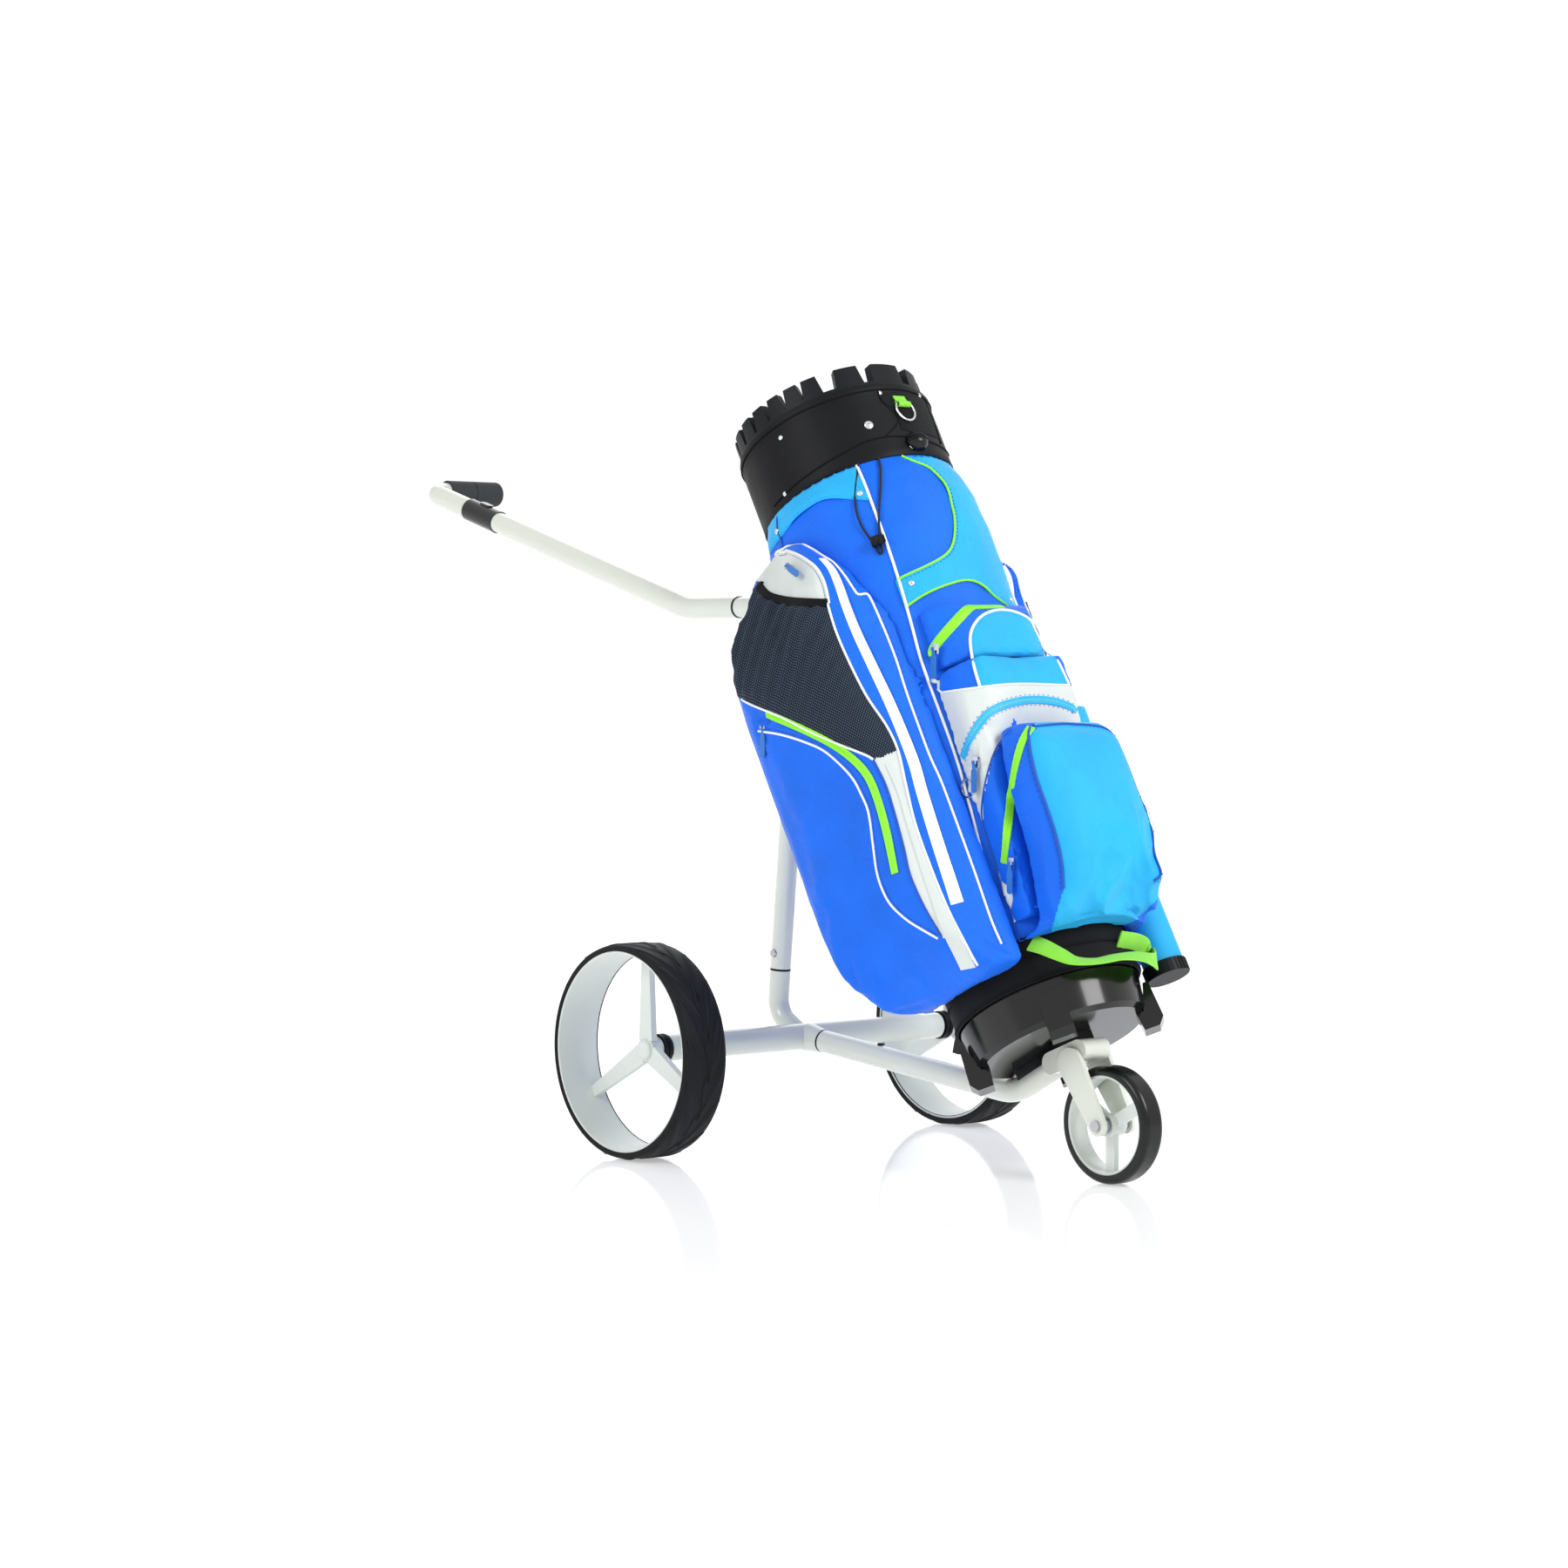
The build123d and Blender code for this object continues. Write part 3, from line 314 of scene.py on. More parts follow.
def shader(name, colour, roughness, shade=0.12, patch_mm=60.0, grain_mm=0.0, grain=0.0, weave_mm=0.0,
           weave=0.0, creases=0.0, crease_mm=45.0, holes_mm=0.0, under=None, rough_spread=0.08, **values):
    """A finish: colour with slow variation, optional grain, weave, creases and knitted holes."""
    m = bpy.data.materials.new(name)
    m.use_nodes = True
    t = m.node_tree
    t.nodes.clear()
    place = add(t, "ShaderNodeTexCoord").outputs["Object"]
    turned = add(t, "ShaderNodeMapping", {}, {"Rotation": (0.0, TILT, 0.0)}, {"Vector": place}).outputs[0]
    blotch = add(t, "ShaderNodeTexNoise", {}, {"Scale": 1 / (patch_mm * MM), "Detail": 3.0}, {"Vector": turned})
    dark = tuple(c * (1 - shade) for c in colour)
    light = tuple(min(1.0, c * (1 + shade * 0.6)) for c in colour)
    mix = add(t, "ShaderNodeMix", {"data_type": "RGBA"}, {6: (*dark, 1), 7: (*light, 1)},
              {0: blotch.outputs["Fac"]})
    tint = mix.outputs[2]
    rough = add(t, "ShaderNodeMapRange", {}, {"To Min": roughness - rough_spread / 2,
                                              "To Max": roughness + rough_spread},
                {"Value": blotch.outputs["Fac"]})
    bsdf = add(t, "ShaderNodeBsdfPrincipled", {}, values, {"Roughness": rough.outputs[0]})
    normal = None
    if creases:
        n = add(t, "ShaderNodeTexNoise", {}, {"Scale": 1 / (crease_mm * MM), "Detail": 2.5, "Distortion": 1.2},
                {"Vector": turned})
        normal = add(t, "ShaderNodeBump", {}, {"Strength": 0.7, "Distance": creases * MM},
                     {"Height": n.outputs["Fac"]}).outputs[0]
    if weave_mm:
        # Threads run up the bag and round it: two sine ribs give the woven grid
        xyz = add(t, "ShaderNodeSeparateXYZ", {}, {}, {0: turned})
        k = math.tau / (weave_mm * MM)
        across = add(t, "ShaderNodeMath", {"operation": "ADD"}, {},
                     {0: xyz.outputs["X"], 1: xyz.outputs["Y"]}).outputs[0]
        rib = [add(t, "ShaderNodeMath", {"operation": "SINE"}, {},
                   {0: add(t, "ShaderNodeMath", {"operation": "MULTIPLY"}, {1: k}, {0: axis}).outputs[0]})
               for axis in (xyz.outputs["Z"], across)]
        grid = add(t, "ShaderNodeMath", {"operation": "MULTIPLY"}, {},
                   {0: rib[0].outputs[0], 1: rib[1].outputs[0]}).outputs[0]
        if holes_mm:
            open_part = add(t, "ShaderNodeMapRange", {}, {"From Min": 0.12, "From Max": 0.5}, {"Value": grid})
            tint = add(t, "ShaderNodeMix", {"data_type": "RGBA"}, {7: (*under, 1)},
                       {0: open_part.outputs[0], 6: tint}).outputs[2]
        links = {"Height": grid}
        if normal:
            links["Normal"] = normal
        normal = add(t, "ShaderNodeBump", {}, {"Strength": weave, "Distance": 0.35 * MM}, links).outputs[0]
    if grain_mm:
        g = add(t, "ShaderNodeTexNoise", {}, {"Scale": 1 / (grain_mm * MM), "Detail": 2.0}, {"Vector": place})
        links = {"Height": g.outputs["Fac"]}
        if normal:
            links["Normal"] = normal
        normal = add(t, "ShaderNodeBump", {}, {"Strength": grain, "Distance": 0.3 * MM}, links).outputs[0]
    t.links.new(tint, bsdf.inputs["Base Color"])
    if normal:
        t.links.new(normal, bsdf.inputs["Normal"])
    add(t, "ShaderNodeOutputMaterial", {}, {}, {"Surface": bsdf.outputs[0]})
    return m


def repeat(name, path, kind, size, material, body):
    """Small equal pieces on the points of a track: Geometry Nodes, then a plain mesh."""
    me = bpy.data.meshes.new(name)
    me.from_pydata([p for p, _, _ in path], [], [])
    for key, column in (("up", 1), ("along", 2)):
        attr = me.attributes.new(key, "FLOAT_VECTOR", "POINT")
        attr.data.foreach_set("vector", [c for row in path for c in row[column]])
    obj = bpy.data.objects.new(name, me)
    bpy.context.scene.collection.objects.link(obj)
    tree = bpy.data.node_groups.new(name, "GeometryNodeTree")
    face = tree.interface
    face.new_socket("Geometry", in_out="INPUT", socket_type="NodeSocketGeometry")
    ids = [face.new_socket(label, in_out="INPUT", socket_type="NodeSocketFloat").identifier
           for label in ("Length", "Width", "Height")]
    face.new_socket("Geometry", in_out="OUTPUT", socket_type="NodeSocketGeometry")
    given = add(tree, "NodeGroupInput")
    if kind == "block":
        shape = add(tree, "GeometryNodeMeshCube").outputs["Mesh"]
    else:
        segments, rings = (6, 4) if kind == "stitch" else (14, 8)
        shape = add(tree, "GeometryNodeMeshUVSphere", {}, {"Segments": segments, "Rings": rings,
                                                           "Radius": 0.5}).outputs["Mesh"]
    scale = add(tree, "ShaderNodeCombineXYZ", {}, {}, {i: given.outputs[i + 1] for i in range(3)})
    up = add(tree, "GeometryNodeInputNamedAttribute", {"data_type": "FLOAT_VECTOR"}, {"Name": "up"})
    along = add(tree, "GeometryNodeInputNamedAttribute", {"data_type": "FLOAT_VECTOR"}, {"Name": "along"})
    stand = add(tree, "FunctionNodeAlignRotationToVector", {"axis": "Z"}, {}, {"Vector": up.outputs[0]})
    turn = add(tree, "FunctionNodeAlignRotationToVector", {"axis": "X", "pivot_axis": "Z"}, {},
               {"Rotation": stand.outputs[0], "Vector": along.outputs[0]})
    points = add(tree, "GeometryNodeMeshToPoints", {}, {}, {"Mesh": given.outputs[0]})
    put = add(tree, "GeometryNodeInstanceOnPoints", {}, {},
              {"Points": points.outputs[0], "Instance": shape, "Rotation": turn.outputs[0],
               "Scale": scale.outputs[0]})
    real = add(tree, "GeometryNodeRealizeInstances", {}, {}, {0: put.outputs[0]})
    soft = add(tree, "GeometryNodeSetShadeSmooth", {}, {"Shade Smooth": kind != "block"}, {0: real.outputs[0]})
    paint = add(tree, "GeometryNodeSetMaterial", {}, {"Material": material}, {0: soft.outputs[0]})
    add(tree, "NodeGroupOutput", {}, {}, {0: paint.outputs[0]})
    mod = obj.modifiers.new("Pieces", "NODES")
    mod.node_group = tree
    for key, value in zip(ids, size):
        mod[key] = value
    settle(obj)
    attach(obj, body)
    return obj


# ---------------------------------------------------------------------------
# Soft pieces from their closed CAD solids
# ---------------------------------------------------------------------------
def soft_body(name, nodes, shrink_mm, swell_mm, voxel_mm, rounds, materials):
    """A sewn pouch: remeshed, corners eased, swelled as cloth and kept off the trunk behind it."""
    bm = bmesh.new()
    for node in nodes:
        bm.from_mesh(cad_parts[node].data)
    bmesh.ops.remove_doubles(bm, verts=bm.verts, dist=1e-5)
    me = bpy.data.meshes.new(name)
    bm.to_mesh(me)
    bm.free()
    me.materials.clear()
    obj = link(me, name, "bag", nodes)
    mod = obj.modifiers.new("Remesh", "REMESH")
    mod.mode = "VOXEL"
    mod.voxel_size = voxel_mm * MM
    settle(obj)
    bm = bmesh.new()
    bm.from_mesh(obj.data)
    seen, best = set(), []
    for v in bm.verts:
        if v in seen:
            continue
        stack, isle = [v], []
        seen.add(v)
        while stack:
            w = stack.pop()
            isle.append(w)
            for e in w.link_edges:
                o = e.other_vert(w)
                if o not in seen:
                    seen.add(o)
                    stack.append(o)
        if len(isle) > len(best):
            best = isle
    keep = set(best)
    bmesh.ops.delete(bm, geom=[v for v in bm.verts if v not in keep], context="VERTS")
    for _ in range(rounds):
        bmesh.ops.smooth_vert(bm, verts=bm.verts, factor=0.5, use_axis_x=True, use_axis_y=True, use_axis_z=True)
    bm.normal_update()
    for v in bm.verts:
        v.co -= v.normal * shrink_mm * MM
    bm.to_mesh(obj.data)
    bm.free()
    sim(obj, swell_mm)
    mod = obj.modifiers.new("Finer", "SUBSURF")
    mod.levels = mod.render_levels = 1
    settle(obj)
    me = obj.data
    me.materials.clear()
    for m in materials:
        me.materials.append(m)
    me.polygons.foreach_set("use_smooth", [True] * len(me.polygons))
    me.polygons.foreach_set("material_index", [0] * len(me.polygons))
    return obj


def sim(obj, swell_mm):
    """Cloth pressure that swells a pouch; a cap keeps each point near its start."""
    me = obj.data
    start = np.empty(len(me.vertices) * 3)
    me.vertices.foreach_get("co", start)
    start = start.reshape(-1, 3)
    bag = in_bag(start)
    radius = np.hypot(bag[:, 0], bag[:, 1])
    back = obj.vertex_groups.new(name="back")
    for i in np.nonzero(radius < 146)[0]:
        back.add([int(i)], 1.0, "REPLACE")
    mod = obj.modifiers.new("Cloth", "CLOTH")
    cloth = mod.settings
    cloth.quality = 4
    cloth.mass = 0.3
    cloth.tension_stiffness = cloth.compression_stiffness = 8
    cloth.bending_stiffness = 0.4
    cloth.use_pressure = True
    cloth.uniform_pressure_force = 4.0
    cloth.vertex_group_mass = "back"
    cloth.effector_weights.gravity = 0.0
    mod.point_cache.frame_start = 1
    mod.point_cache.frame_end = 20
    scene = bpy.context.scene
    for f in range(1, 21):
        scene.frame_set(f)
    graph = bpy.context.evaluated_depsgraph_get()
    done = obj.evaluated_get(graph).to_mesh()
    end = np.empty(len(done.vertices) * 3)
    done.vertices.foreach_get("co", end)
    end = end.reshape(-1, 3)
    obj.evaluated_get(graph).to_mesh_clear()
    obj.modifiers.clear()
    scene.frame_set(1)
    move = end - start
    size = np.linalg.norm(move, axis=1, keepdims=True)
    cap = swell_mm * MM
    move = move * np.where(size > cap, cap / np.maximum(size, 1e-9), 1.0)
    me.vertices.foreach_set("co", (start + move).ravel())
    me.update()
    obj.vertex_groups.clear()


def crumple(obj, depth_mm, size_mm, where=None):
    """Shallow folds pressed into a finished skin along its normals."""
    me = obj.data
    points = [v.co.copy() for v in me.vertices]
    normals = [v.normal.copy() for v in me.vertices]
    for v, co, normal, b in zip(me.vertices, points, normals, in_bag(points)):
        if math.hypot(b[0], b[1]) < 150:
            continue
        w = where(b) if where else 1.0
        if w <= 0:
            continue
        p = co / (size_mm * MM)
        ridge = 1 - abs(noise.noise(Vector((p.x, p.y, p.z * 0.6)))) * 2
        v.co = co + normal * (ridge - 0.6) * depth_mm * MM * w
    me.update()


def reshape(obj, change):
    """Moves a skin's points by a rule written in bag millimetres (arrays u, v, s)."""
    me = obj.data
    co = np.empty(len(me.vertices) * 3)
    me.vertices.foreach_get("co", co)
    u, v, s = change(*in_bag(co.reshape(-1, 3)).T)
    moved = np.array(FOOT) + (np.stack([u, v, s], axis=1) * MM) @ np.array([FRONT, LEFT, UP])
    me.vertices.foreach_set("co", moved.ravel())
    me.update()


def hill(x, low, high, soft):
    """1 between low and high, fading to 0 over the soft width outside."""
    return np.clip(np.minimum((x - low) / soft, (high - x) / soft) + 1, 0, 1)


def paint_faces(obj, outline, index, flip=False):
    """Gives the faces inside an outline, as the viewer sees them, another fabric, and on front faces the
    painted-lighter blue that stands in for their light.
    """
    me = obj.data
    n = len(me.polygons)
    co, nrm = np.empty(n * 3), np.empty(n * 3)
    me.polygons.foreach_get("center", co)
    me.polygons.foreach_get("normal", nrm)
    co, nrm = co.reshape(-1, 3), nrm.reshape(-1, 3)
    if flip:
        co, nrm = co * [1, -1, 1], nrm * [1, -1, 1]
    facing = ((np.array(EYE) - co) * nrm).sum(axis=1) > 0
    chosen = inside(as_seen(co), as_seen(np.array([tuple(p) for p in outline]))) & facing
    kinds = np.empty(n, np.int32)
    me.polygons.foreach_get("material_index", kinds)
    kinds[chosen] = index
    me.polygons.foreach_set("material_index", kinds)
    return chosen


# ---------------------------------------------------------------------------
# Sizes and colours a user would change
# ---------------------------------------------------------------------------
class BagCartSizes(bpy.types.PropertyGroup):
    """Sizes of the sewn and moulded details."""

    voxel: FloatProperty(name="Remesh", description="Grid of the soft pouches", default=6.0, min=4.0, max=9.0)
    swell: FloatProperty(name="Swell", description="How far cloth pressure may move a pouch, in mm", default=7.0)
    zip_width: FloatProperty(name="Zip width", description="Width of the coloured zips", default=0.0105,
                             unit="LENGTH")
    piping: FloatProperty(name="Piping", description="Radius of the sewn piping", default=0.0016, unit="LENGTH")
    stitch_pitch: FloatProperty(name="Stitch pitch", description="Distance from stitch to stitch",
                                default=0.0055, unit="LENGTH")
    leaves: IntProperty(name="Tread leaves", description="Leaf blocks on each half of a tread", default=16)


class BagCartColours(bpy.types.PropertyGroup):
    """Fabric and finish colours."""

    blue: FloatVectorProperty(name="Blue", description="Main nylon", subtype="COLOR",
                              default=linear("#0A6CF0"))
    # This second blue is the main blue nylon painted lighter: a painted highlight that stands in for the key light on
    # the front faces
    sky: FloatVectorProperty(name="Painted lit blue", description="Blue nylon painted lighter where the key light falls", subtype="COLOR",
                             default=linear("#25B2F2"))
    pale: FloatVectorProperty(name="Pale grey", description="Contrast panels", subtype="COLOR",
                              default=linear("#D3DAD7"))
    lime: FloatVectorProperty(name="Lime", description="Zips, strap and piping", subtype="COLOR",
                              default=linear("#8DF01E"))
    white: FloatVectorProperty(name="White", description="Frame paint and wheels", subtype="COLOR",
                               default=linear("#DCE2DD"))
    black: FloatVectorProperty(name="Black", description="Rubber and collar", subtype="COLOR",
                               default=linear("#17181A"))


paints = {}


def finishes():
    """Makes every finish once."""
    c = bpy.context.scene.bag_cart_colours
    blue, sky, pale, lime, white, black = (tuple(getattr(c, k)) for k in
                                           ("blue", "sky", "pale", "lime", "white", "black"))
    dull = {"Specular IOR Level": 0.14}
    # Nylon ripstop: slight sheen, woven grid of 0.6 mm threads drawn at 3 mm so that it shows
    cloth = {"weave_mm": 3.2, "weave": 0.5, "creases": 2.2, "crease_mm": 42,
             **{"Sheen Weight": 0.04, "Specular IOR Level": 0.22}}
    paints["blue"] = shader("nylon_ripstop_blue", blue, 0.46, 0.22, 70, **cloth)
    # The lighter nylon below is the blue with painted light: a lit copy of it for the front faces
    paints["sky"] = shader("nylon_ripstop_painted_lit_blue", sky, 0.44, 0.2, 70, **cloth)
    # Bound seam tape is a tone deeper than the panels it joins
    paints["deep"] = shader("nylon_binding_deep_blue", tuple(k * 0.5 for k in blue), 0.5, 0.1, 20,
                            weave_mm=1.6, weave=0.4)
    # Coated polyester: smooth, faint grain
    paints["pale"] = shader("coated_polyester_pale", pale, 0.42, 0.07, 60, grain_mm=1.2, grain=0.25,
                            creases=1.6, crease_mm=50)
    paints["white_band"] = shader("coated_polyester_white", linear("#F2F3F1"), 0.4, 0.05, 40, grain_mm=1.2,
                                  grain=0.2)
    # Rubber-coated zip tape: satin, with the coil showing as a fine rib
    paints["lime"] = shader("coated_zip_tape_lime", lime, 0.38, 0.06, 25, weave_mm=1.4, weave=0.25)
    # This zip tape takes the same painted-lighter blue
    paints["sky_zip"] = shader("coated_zip_tape_painted_lit_blue", sky, 0.38, 0.06, 25, weave_mm=1.4, weave=0.25)
    # Flat polypropylene webbing: ribs 1 mm apart drawn at 1.8 mm
    paints["webbing"] = shader("webbing_lime", lime, 0.55, 0.1, 20, weave_mm=1.8, weave=0.9,
                               **{"Sheen Weight": 0.3})
    # Hexagonal polyester knit: holes 2.5 mm apart drawn at 4.6 mm
    paints["mesh"] = shader("knit_mesh_charcoal", linear("#15181D"), 0.6, 0.15, 30, weave_mm=5.0, weave=0.8,
                            creases=1.5, crease_mm=30, holes_mm=4.6, under=linear("#43566F"), **dull)
    paints["hem"] = shader("elastic_hem_black", linear("#0D0E10"), 0.7, 0.1, 15, weave_mm=1.5, weave=0.7, **dull)
    # Ballistic nylon: coarse dull weave
    paints["black_nylon"] = shader("ballistic_nylon_black", linear("#121315"), 0.62, 0.2, 40, weave_mm=2.6,
                                   weave=0.8, creases=1.6, crease_mm=35, **dull)
    # Leatherette: calendered vinyl with 1 mm pebbles
    paints["leather"] = shader("leatherette_black", linear("#0C0D10"), 0.48, 0.2, 60, grain_mm=1.1, grain=0.35,
                               creases=1.2, crease_mm=60, **dull)
    # Powder coat: glossy with faint orange peel
    paints["paint"] = shader("powder_coat_white", tuple(k * w for k, w in zip(white, (1.0, 0.985, 0.93))), 0.24,
                             0.02, 120, grain_mm=2.4, grain=0.05, rough_spread=0.05,
                             **{"Coat Weight": 0.4, "Coat Roughness": 0.1})
    # Glass-filled nylon moulding: satin
    paints["rim"] = shader("moulded_nylon_white", white, 0.36, 0.03, 80, grain_mm=1.0, grain=0.1)
    # Tread rubber: dull, dusty bloom
    paints["tread"] = shader("tread_rubber_black", black, 0.55, 0.3, 45, grain_mm=0.8, grain=0.3, **dull)
    paints["rubber"] = shader("smooth_rubber_black", linear("#0E0F11"), 0.22, 0.2, 40, grain_mm=0.9, grain=0.06,
                              **{"Specular IOR Level": 0.3})
    # Foam rubber grip: fine closed cells
    paints["grip"] = shader("foam_rubber_grip", linear("#24282B"), 0.72, 0.18, 20, grain_mm=0.7, grain=0.6)
    # ABS moulding polished in the tool
    paints["gloss"] = shader("abs_gloss_black", linear("#08090A"), 0.14, 0.2, 80, grain_mm=4, grain=0.03,
                             **{"Coat Weight": 0.15, "Coat Roughness": 0.06, "Specular IOR Level": 0.35})
    # Polypropylene with a spark-eroded grain
    paints["plastic"] = shader("polypropylene_black", linear("#14161A"), 0.42, 0.2, 50, grain_mm=1.0, grain=0.4, **dull)
    paints["steel"] = shader("turned_steel", linear("#B4B7BA"), 0.3, 0.08, 8, grain_mm=0.6, grain=0.1, Metallic=1.0)
    paints["chrome"] = shader("nickel_plate", linear("#D5D6D8"), 0.14, 0.05, 12, grain_mm=1.5, grain=0.04,
                              Metallic=1.0)
    paints["lining"] = shader("polyester_lining", linear("#26282C"), 0.8, 0.25, 40, weave_mm=2.4, weave=0.5)
    paints["pull"] = shader("moulded_soft_rubber_blue", linear("#2A74C4"), 0.42, 0.12, 10, grain_mm=0.8, grain=0.3)
    paints["cord"] = shader("braided_elastic_black", linear("#101113"), 0.66, 0.2, 6, weave_mm=1.6, weave=0.9)


def dress(names, paint):
    """Gives CAD nodes a finish."""
    for name in names:
        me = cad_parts[name].data
        me.materials.clear()
        me.materials.append(paints[paint])
        me.polygons.foreach_set("material_index", [0] * len(me.polygons))


SIDES = ("left", "right")


def make_room(obj):
    """Presses a swelled skin in under the zip sliders and pulls, so that they lie on it."""
    hard = [v.co for name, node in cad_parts.items() if name.startswith("zip_") for v in node.data.vertices]
    tree = KDTree(len(hard))
    for k, co in enumerate(hard):
        tree.insert(co, k)
    tree.balance()
    me = obj.data
    normals = [v.normal.copy() for v in me.vertices]
    for v, normal in zip(me.vertices, normals):
        co, _, gap = tree.find(v.co)
        if gap < 0.02:
            over = min((v.co - co).dot(normal) + 0.0022, 0.009)
            side = (v.co - co) - normal * (v.co - co).dot(normal)
            if over > 0:
                v.co = v.co - normal * over * min(1.0, max(0.0, (0.016 - side.length) / 0.012))
    me.update()


class Piece:
    """What every operator here shares."""

    bl_options = {"REGISTER"}

    def need(self, ok, message):
        if not ok:
            raise RuntimeError(message)


class BAGCART_OT_finishes(Piece, bpy.types.Operator):
    """Makes the finishes and gives them to the rigid pieces that keep their CAD shape"""

    bl_idname = "bagcart.finishes"
    bl_label = "Finishes"

    def execute(self, context):
        finishes()
        dress(["crossbar", "forward_socket", "forward_tube", "fork", "elbow", "upright_tube", "bag_cradle",
               "handle_tube", "grip_tube"], "paint")
        dress(["rear_rim_left", "rear_rim_right", "front_rim"], "rim")
        dress(["front_tyre", "saddle_pad"], "rubber")
        dress(["grip"], "grip")
        dress(["handle_sleeve", "sleeve_button", "bag_base", "base_feet"], "gloss")
        dress(["forward_button", "joint_rings", "organizer_top", "putter_cap", "coupling_ring_left",
               "coupling_ring_right"], "plastic")
        dress(["front_bearings", "front_axle_set", "hub_bearings_left", "hub_bearings_right", "axle_stub_left",
               "axle_stub_right", "upright_button"], "steel")
        dress(["towel_ring", "zip_sliders"], "chrome")
        dress(["dividers"], "lining")
        dress([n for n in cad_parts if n.startswith("zip_pull_")], "pull")
        self.need(len(paints) > 20, "finishes are missing")
        return {"FINISHED"}


# ---------------------------------------------------------------------------
# Wheels
# ---------------------------------------------------------------------------
class BAGCART_OT_treads(Piece, bpy.types.Operator):
    """Rear tyres with a wavy middle rib and leaf blocks to both shoulders"""

    bl_idname = "bagcart.treads"
    bl_label = "Rear treads"

    def execute(self, context):
        count = context.scene.bag_cart_sizes.leaves
        for side in SIDES:
            lo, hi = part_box("rear_tyre_" + side)
            mid, half = (lo.y + hi.y) / 2, (hi.y - lo.y) / 2
            centre = Vector((AXLE_X, mid, 0.14))
            outward = 1 if side == "left" else -1

            def on_wheel(angle, y, r):
                a = math.radians(angle)
                return centre + Vector((math.cos(a) * r * MM, y * MM * outward, math.sin(a) * r * MM))

            work = Work()
            w = half / MM
            section = [(-w + 0.5, 130.2), (-w, 131.5), (-w, 134.5), (-w + 2, 137.2), (-w + 6, 138.5),
                       (-8, 138.9), (8, 138.9), (w - 6, 138.5), (w - 2, 137.2), (w, 134.5), (w, 131.5),
                       (w - 0.5, 130.2)]
            rings = [[on_wheel(a * 2, y, r) for y, r in section] for a in range(180)]
            work.tube(rings, paints["tread"], closed=True)
            # The middle rib weaves from side to side, once for each pair of leaves
            ribs = []
            for k in range(480):
                a = k * 0.75
                y = 2.6 * math.sin(math.radians(a * count))
                ribs.append([on_wheel(a, y - 1.6, 138.6), on_wheel(a, y - 0.7, 139.95),
                             on_wheel(a, y + 0.7, 139.95), on_wheel(a, y + 1.6, 138.6)])
            work.tube(ribs, paints["tread"], closed=True)
            leaf = Work()
            for sign in (-1, 1):
                rows = []
                for i in range(15):
                    f = i / 14
                    spine = (4 + f * (w - 7)) * sign
                    lead = 32 * f ** 0.8 + (0 if sign > 0 else 360 / count / 2)
                    wide = 8.2 * math.sin(math.pi * min(1, 0.06 + f * 0.94)) ** 0.7 + 0.4
                    drop = 0.0 if f < 0.8 else (f - 0.8) * 7
                    rows.append([on_wheel(lead + b * wide, spine, 138.5 + (1.45 - drop) * (1 - abs(b) ** 2.4))
                                 for b in (-1, -0.72, -0.3, 0.3, 0.72, 1)])
                verts = [p for row in rows for p in row]
                faces = [[i * 6 + j, i * 6 + j + 1, i * 6 + j + 7, i * 6 + j + 6]
                         for i in range(14) for j in range(5)]
                leaf.add(verts, faces, paints["tread"])
            tyre = link(work.mesh("tyre_" + side), "rear_tread_" + side, side + "_wheel", "rear_tyre_" + side)
            blocks = link(leaf.mesh("leaf_" + side), "tread_leaves_" + side, side + "_wheel")
            self.turn_round(blocks, centre, count)
            self.need(len(tyre.data.vertices) > 100, "the tyre is empty")
            line = Work()
            edge = [[on_wheel(a * 3, -w + 1.9 + y, 127.4 + r) for y, r in ((0, -0.9), (1.3, -0.9), (1.3, 0), (0, 0))]
                    for a in range(120)]
            line.tube(edge, paints["rubber"], closed=True)
            link(line.mesh("edge_" + side), "rim_edge_line_" + side, side + "_wheel")
        return {"FINISHED"}

    def turn_round(self, obj, centre, count):
        """Repeats a mesh round the wheel's axle with Geometry Nodes."""
        tree = bpy.data.node_groups.new("Leaves round the tyre", "GeometryNodeTree")
        face = tree.interface
        face.new_socket("Geometry", in_out="INPUT", socket_type="NodeSocketGeometry")
        number = face.new_socket("Count", in_out="INPUT", socket_type="NodeSocketInt").identifier
        middle = face.new_socket("Centre", in_out="INPUT", socket_type="NodeSocketVector").identifier
        face.new_socket("Geometry", in_out="OUTPUT", socket_type="NodeSocketGeometry")
        given = add(tree, "NodeGroupInput")
        back = add(tree, "ShaderNodeVectorMath", {"operation": "SCALE"}, {"Scale": -1.0}, {0: given.outputs[2]})
        home = add(tree, "GeometryNodeTransform", {}, {}, {"Geometry": given.outputs[0],
                                                           "Translation": back.outputs[0]})
        spots = add(tree, "GeometryNodePoints", {}, {}, {"Count": given.outputs[1], "Position": given.outputs[2]})
        index = add(tree, "GeometryNodeInputIndex")
        step = add(tree, "ShaderNodeMath", {"operation": "DIVIDE"}, {0: math.tau}, {1: given.outputs[1]})
        angle = add(tree, "ShaderNodeMath", {"operation": "MULTIPLY"}, {},
                    {0: index.outputs[0], 1: step.outputs[0]})
        turn = add(tree, "ShaderNodeCombineXYZ", {}, {}, {"Y": angle.outputs[0]})
        put = add(tree, "GeometryNodeInstanceOnPoints", {}, {},
                  {"Points": spots.outputs[0], "Instance": home.outputs[0], "Rotation": turn.outputs[0]})
        real = add(tree, "GeometryNodeRealizeInstances", {}, {}, {0: put.outputs[0]})
        paint = add(tree, "GeometryNodeSetMaterial", {}, {"Material": paints["tread"]}, {0: real.outputs[0]})
        add(tree, "NodeGroupOutput", {}, {}, {0: paint.outputs[0]})
        mod = obj.modifiers.new("Leaves", "NODES")
        mod.node_group = tree
        mod[number] = count
        mod[middle] = tuple(centre)
        settle(obj)


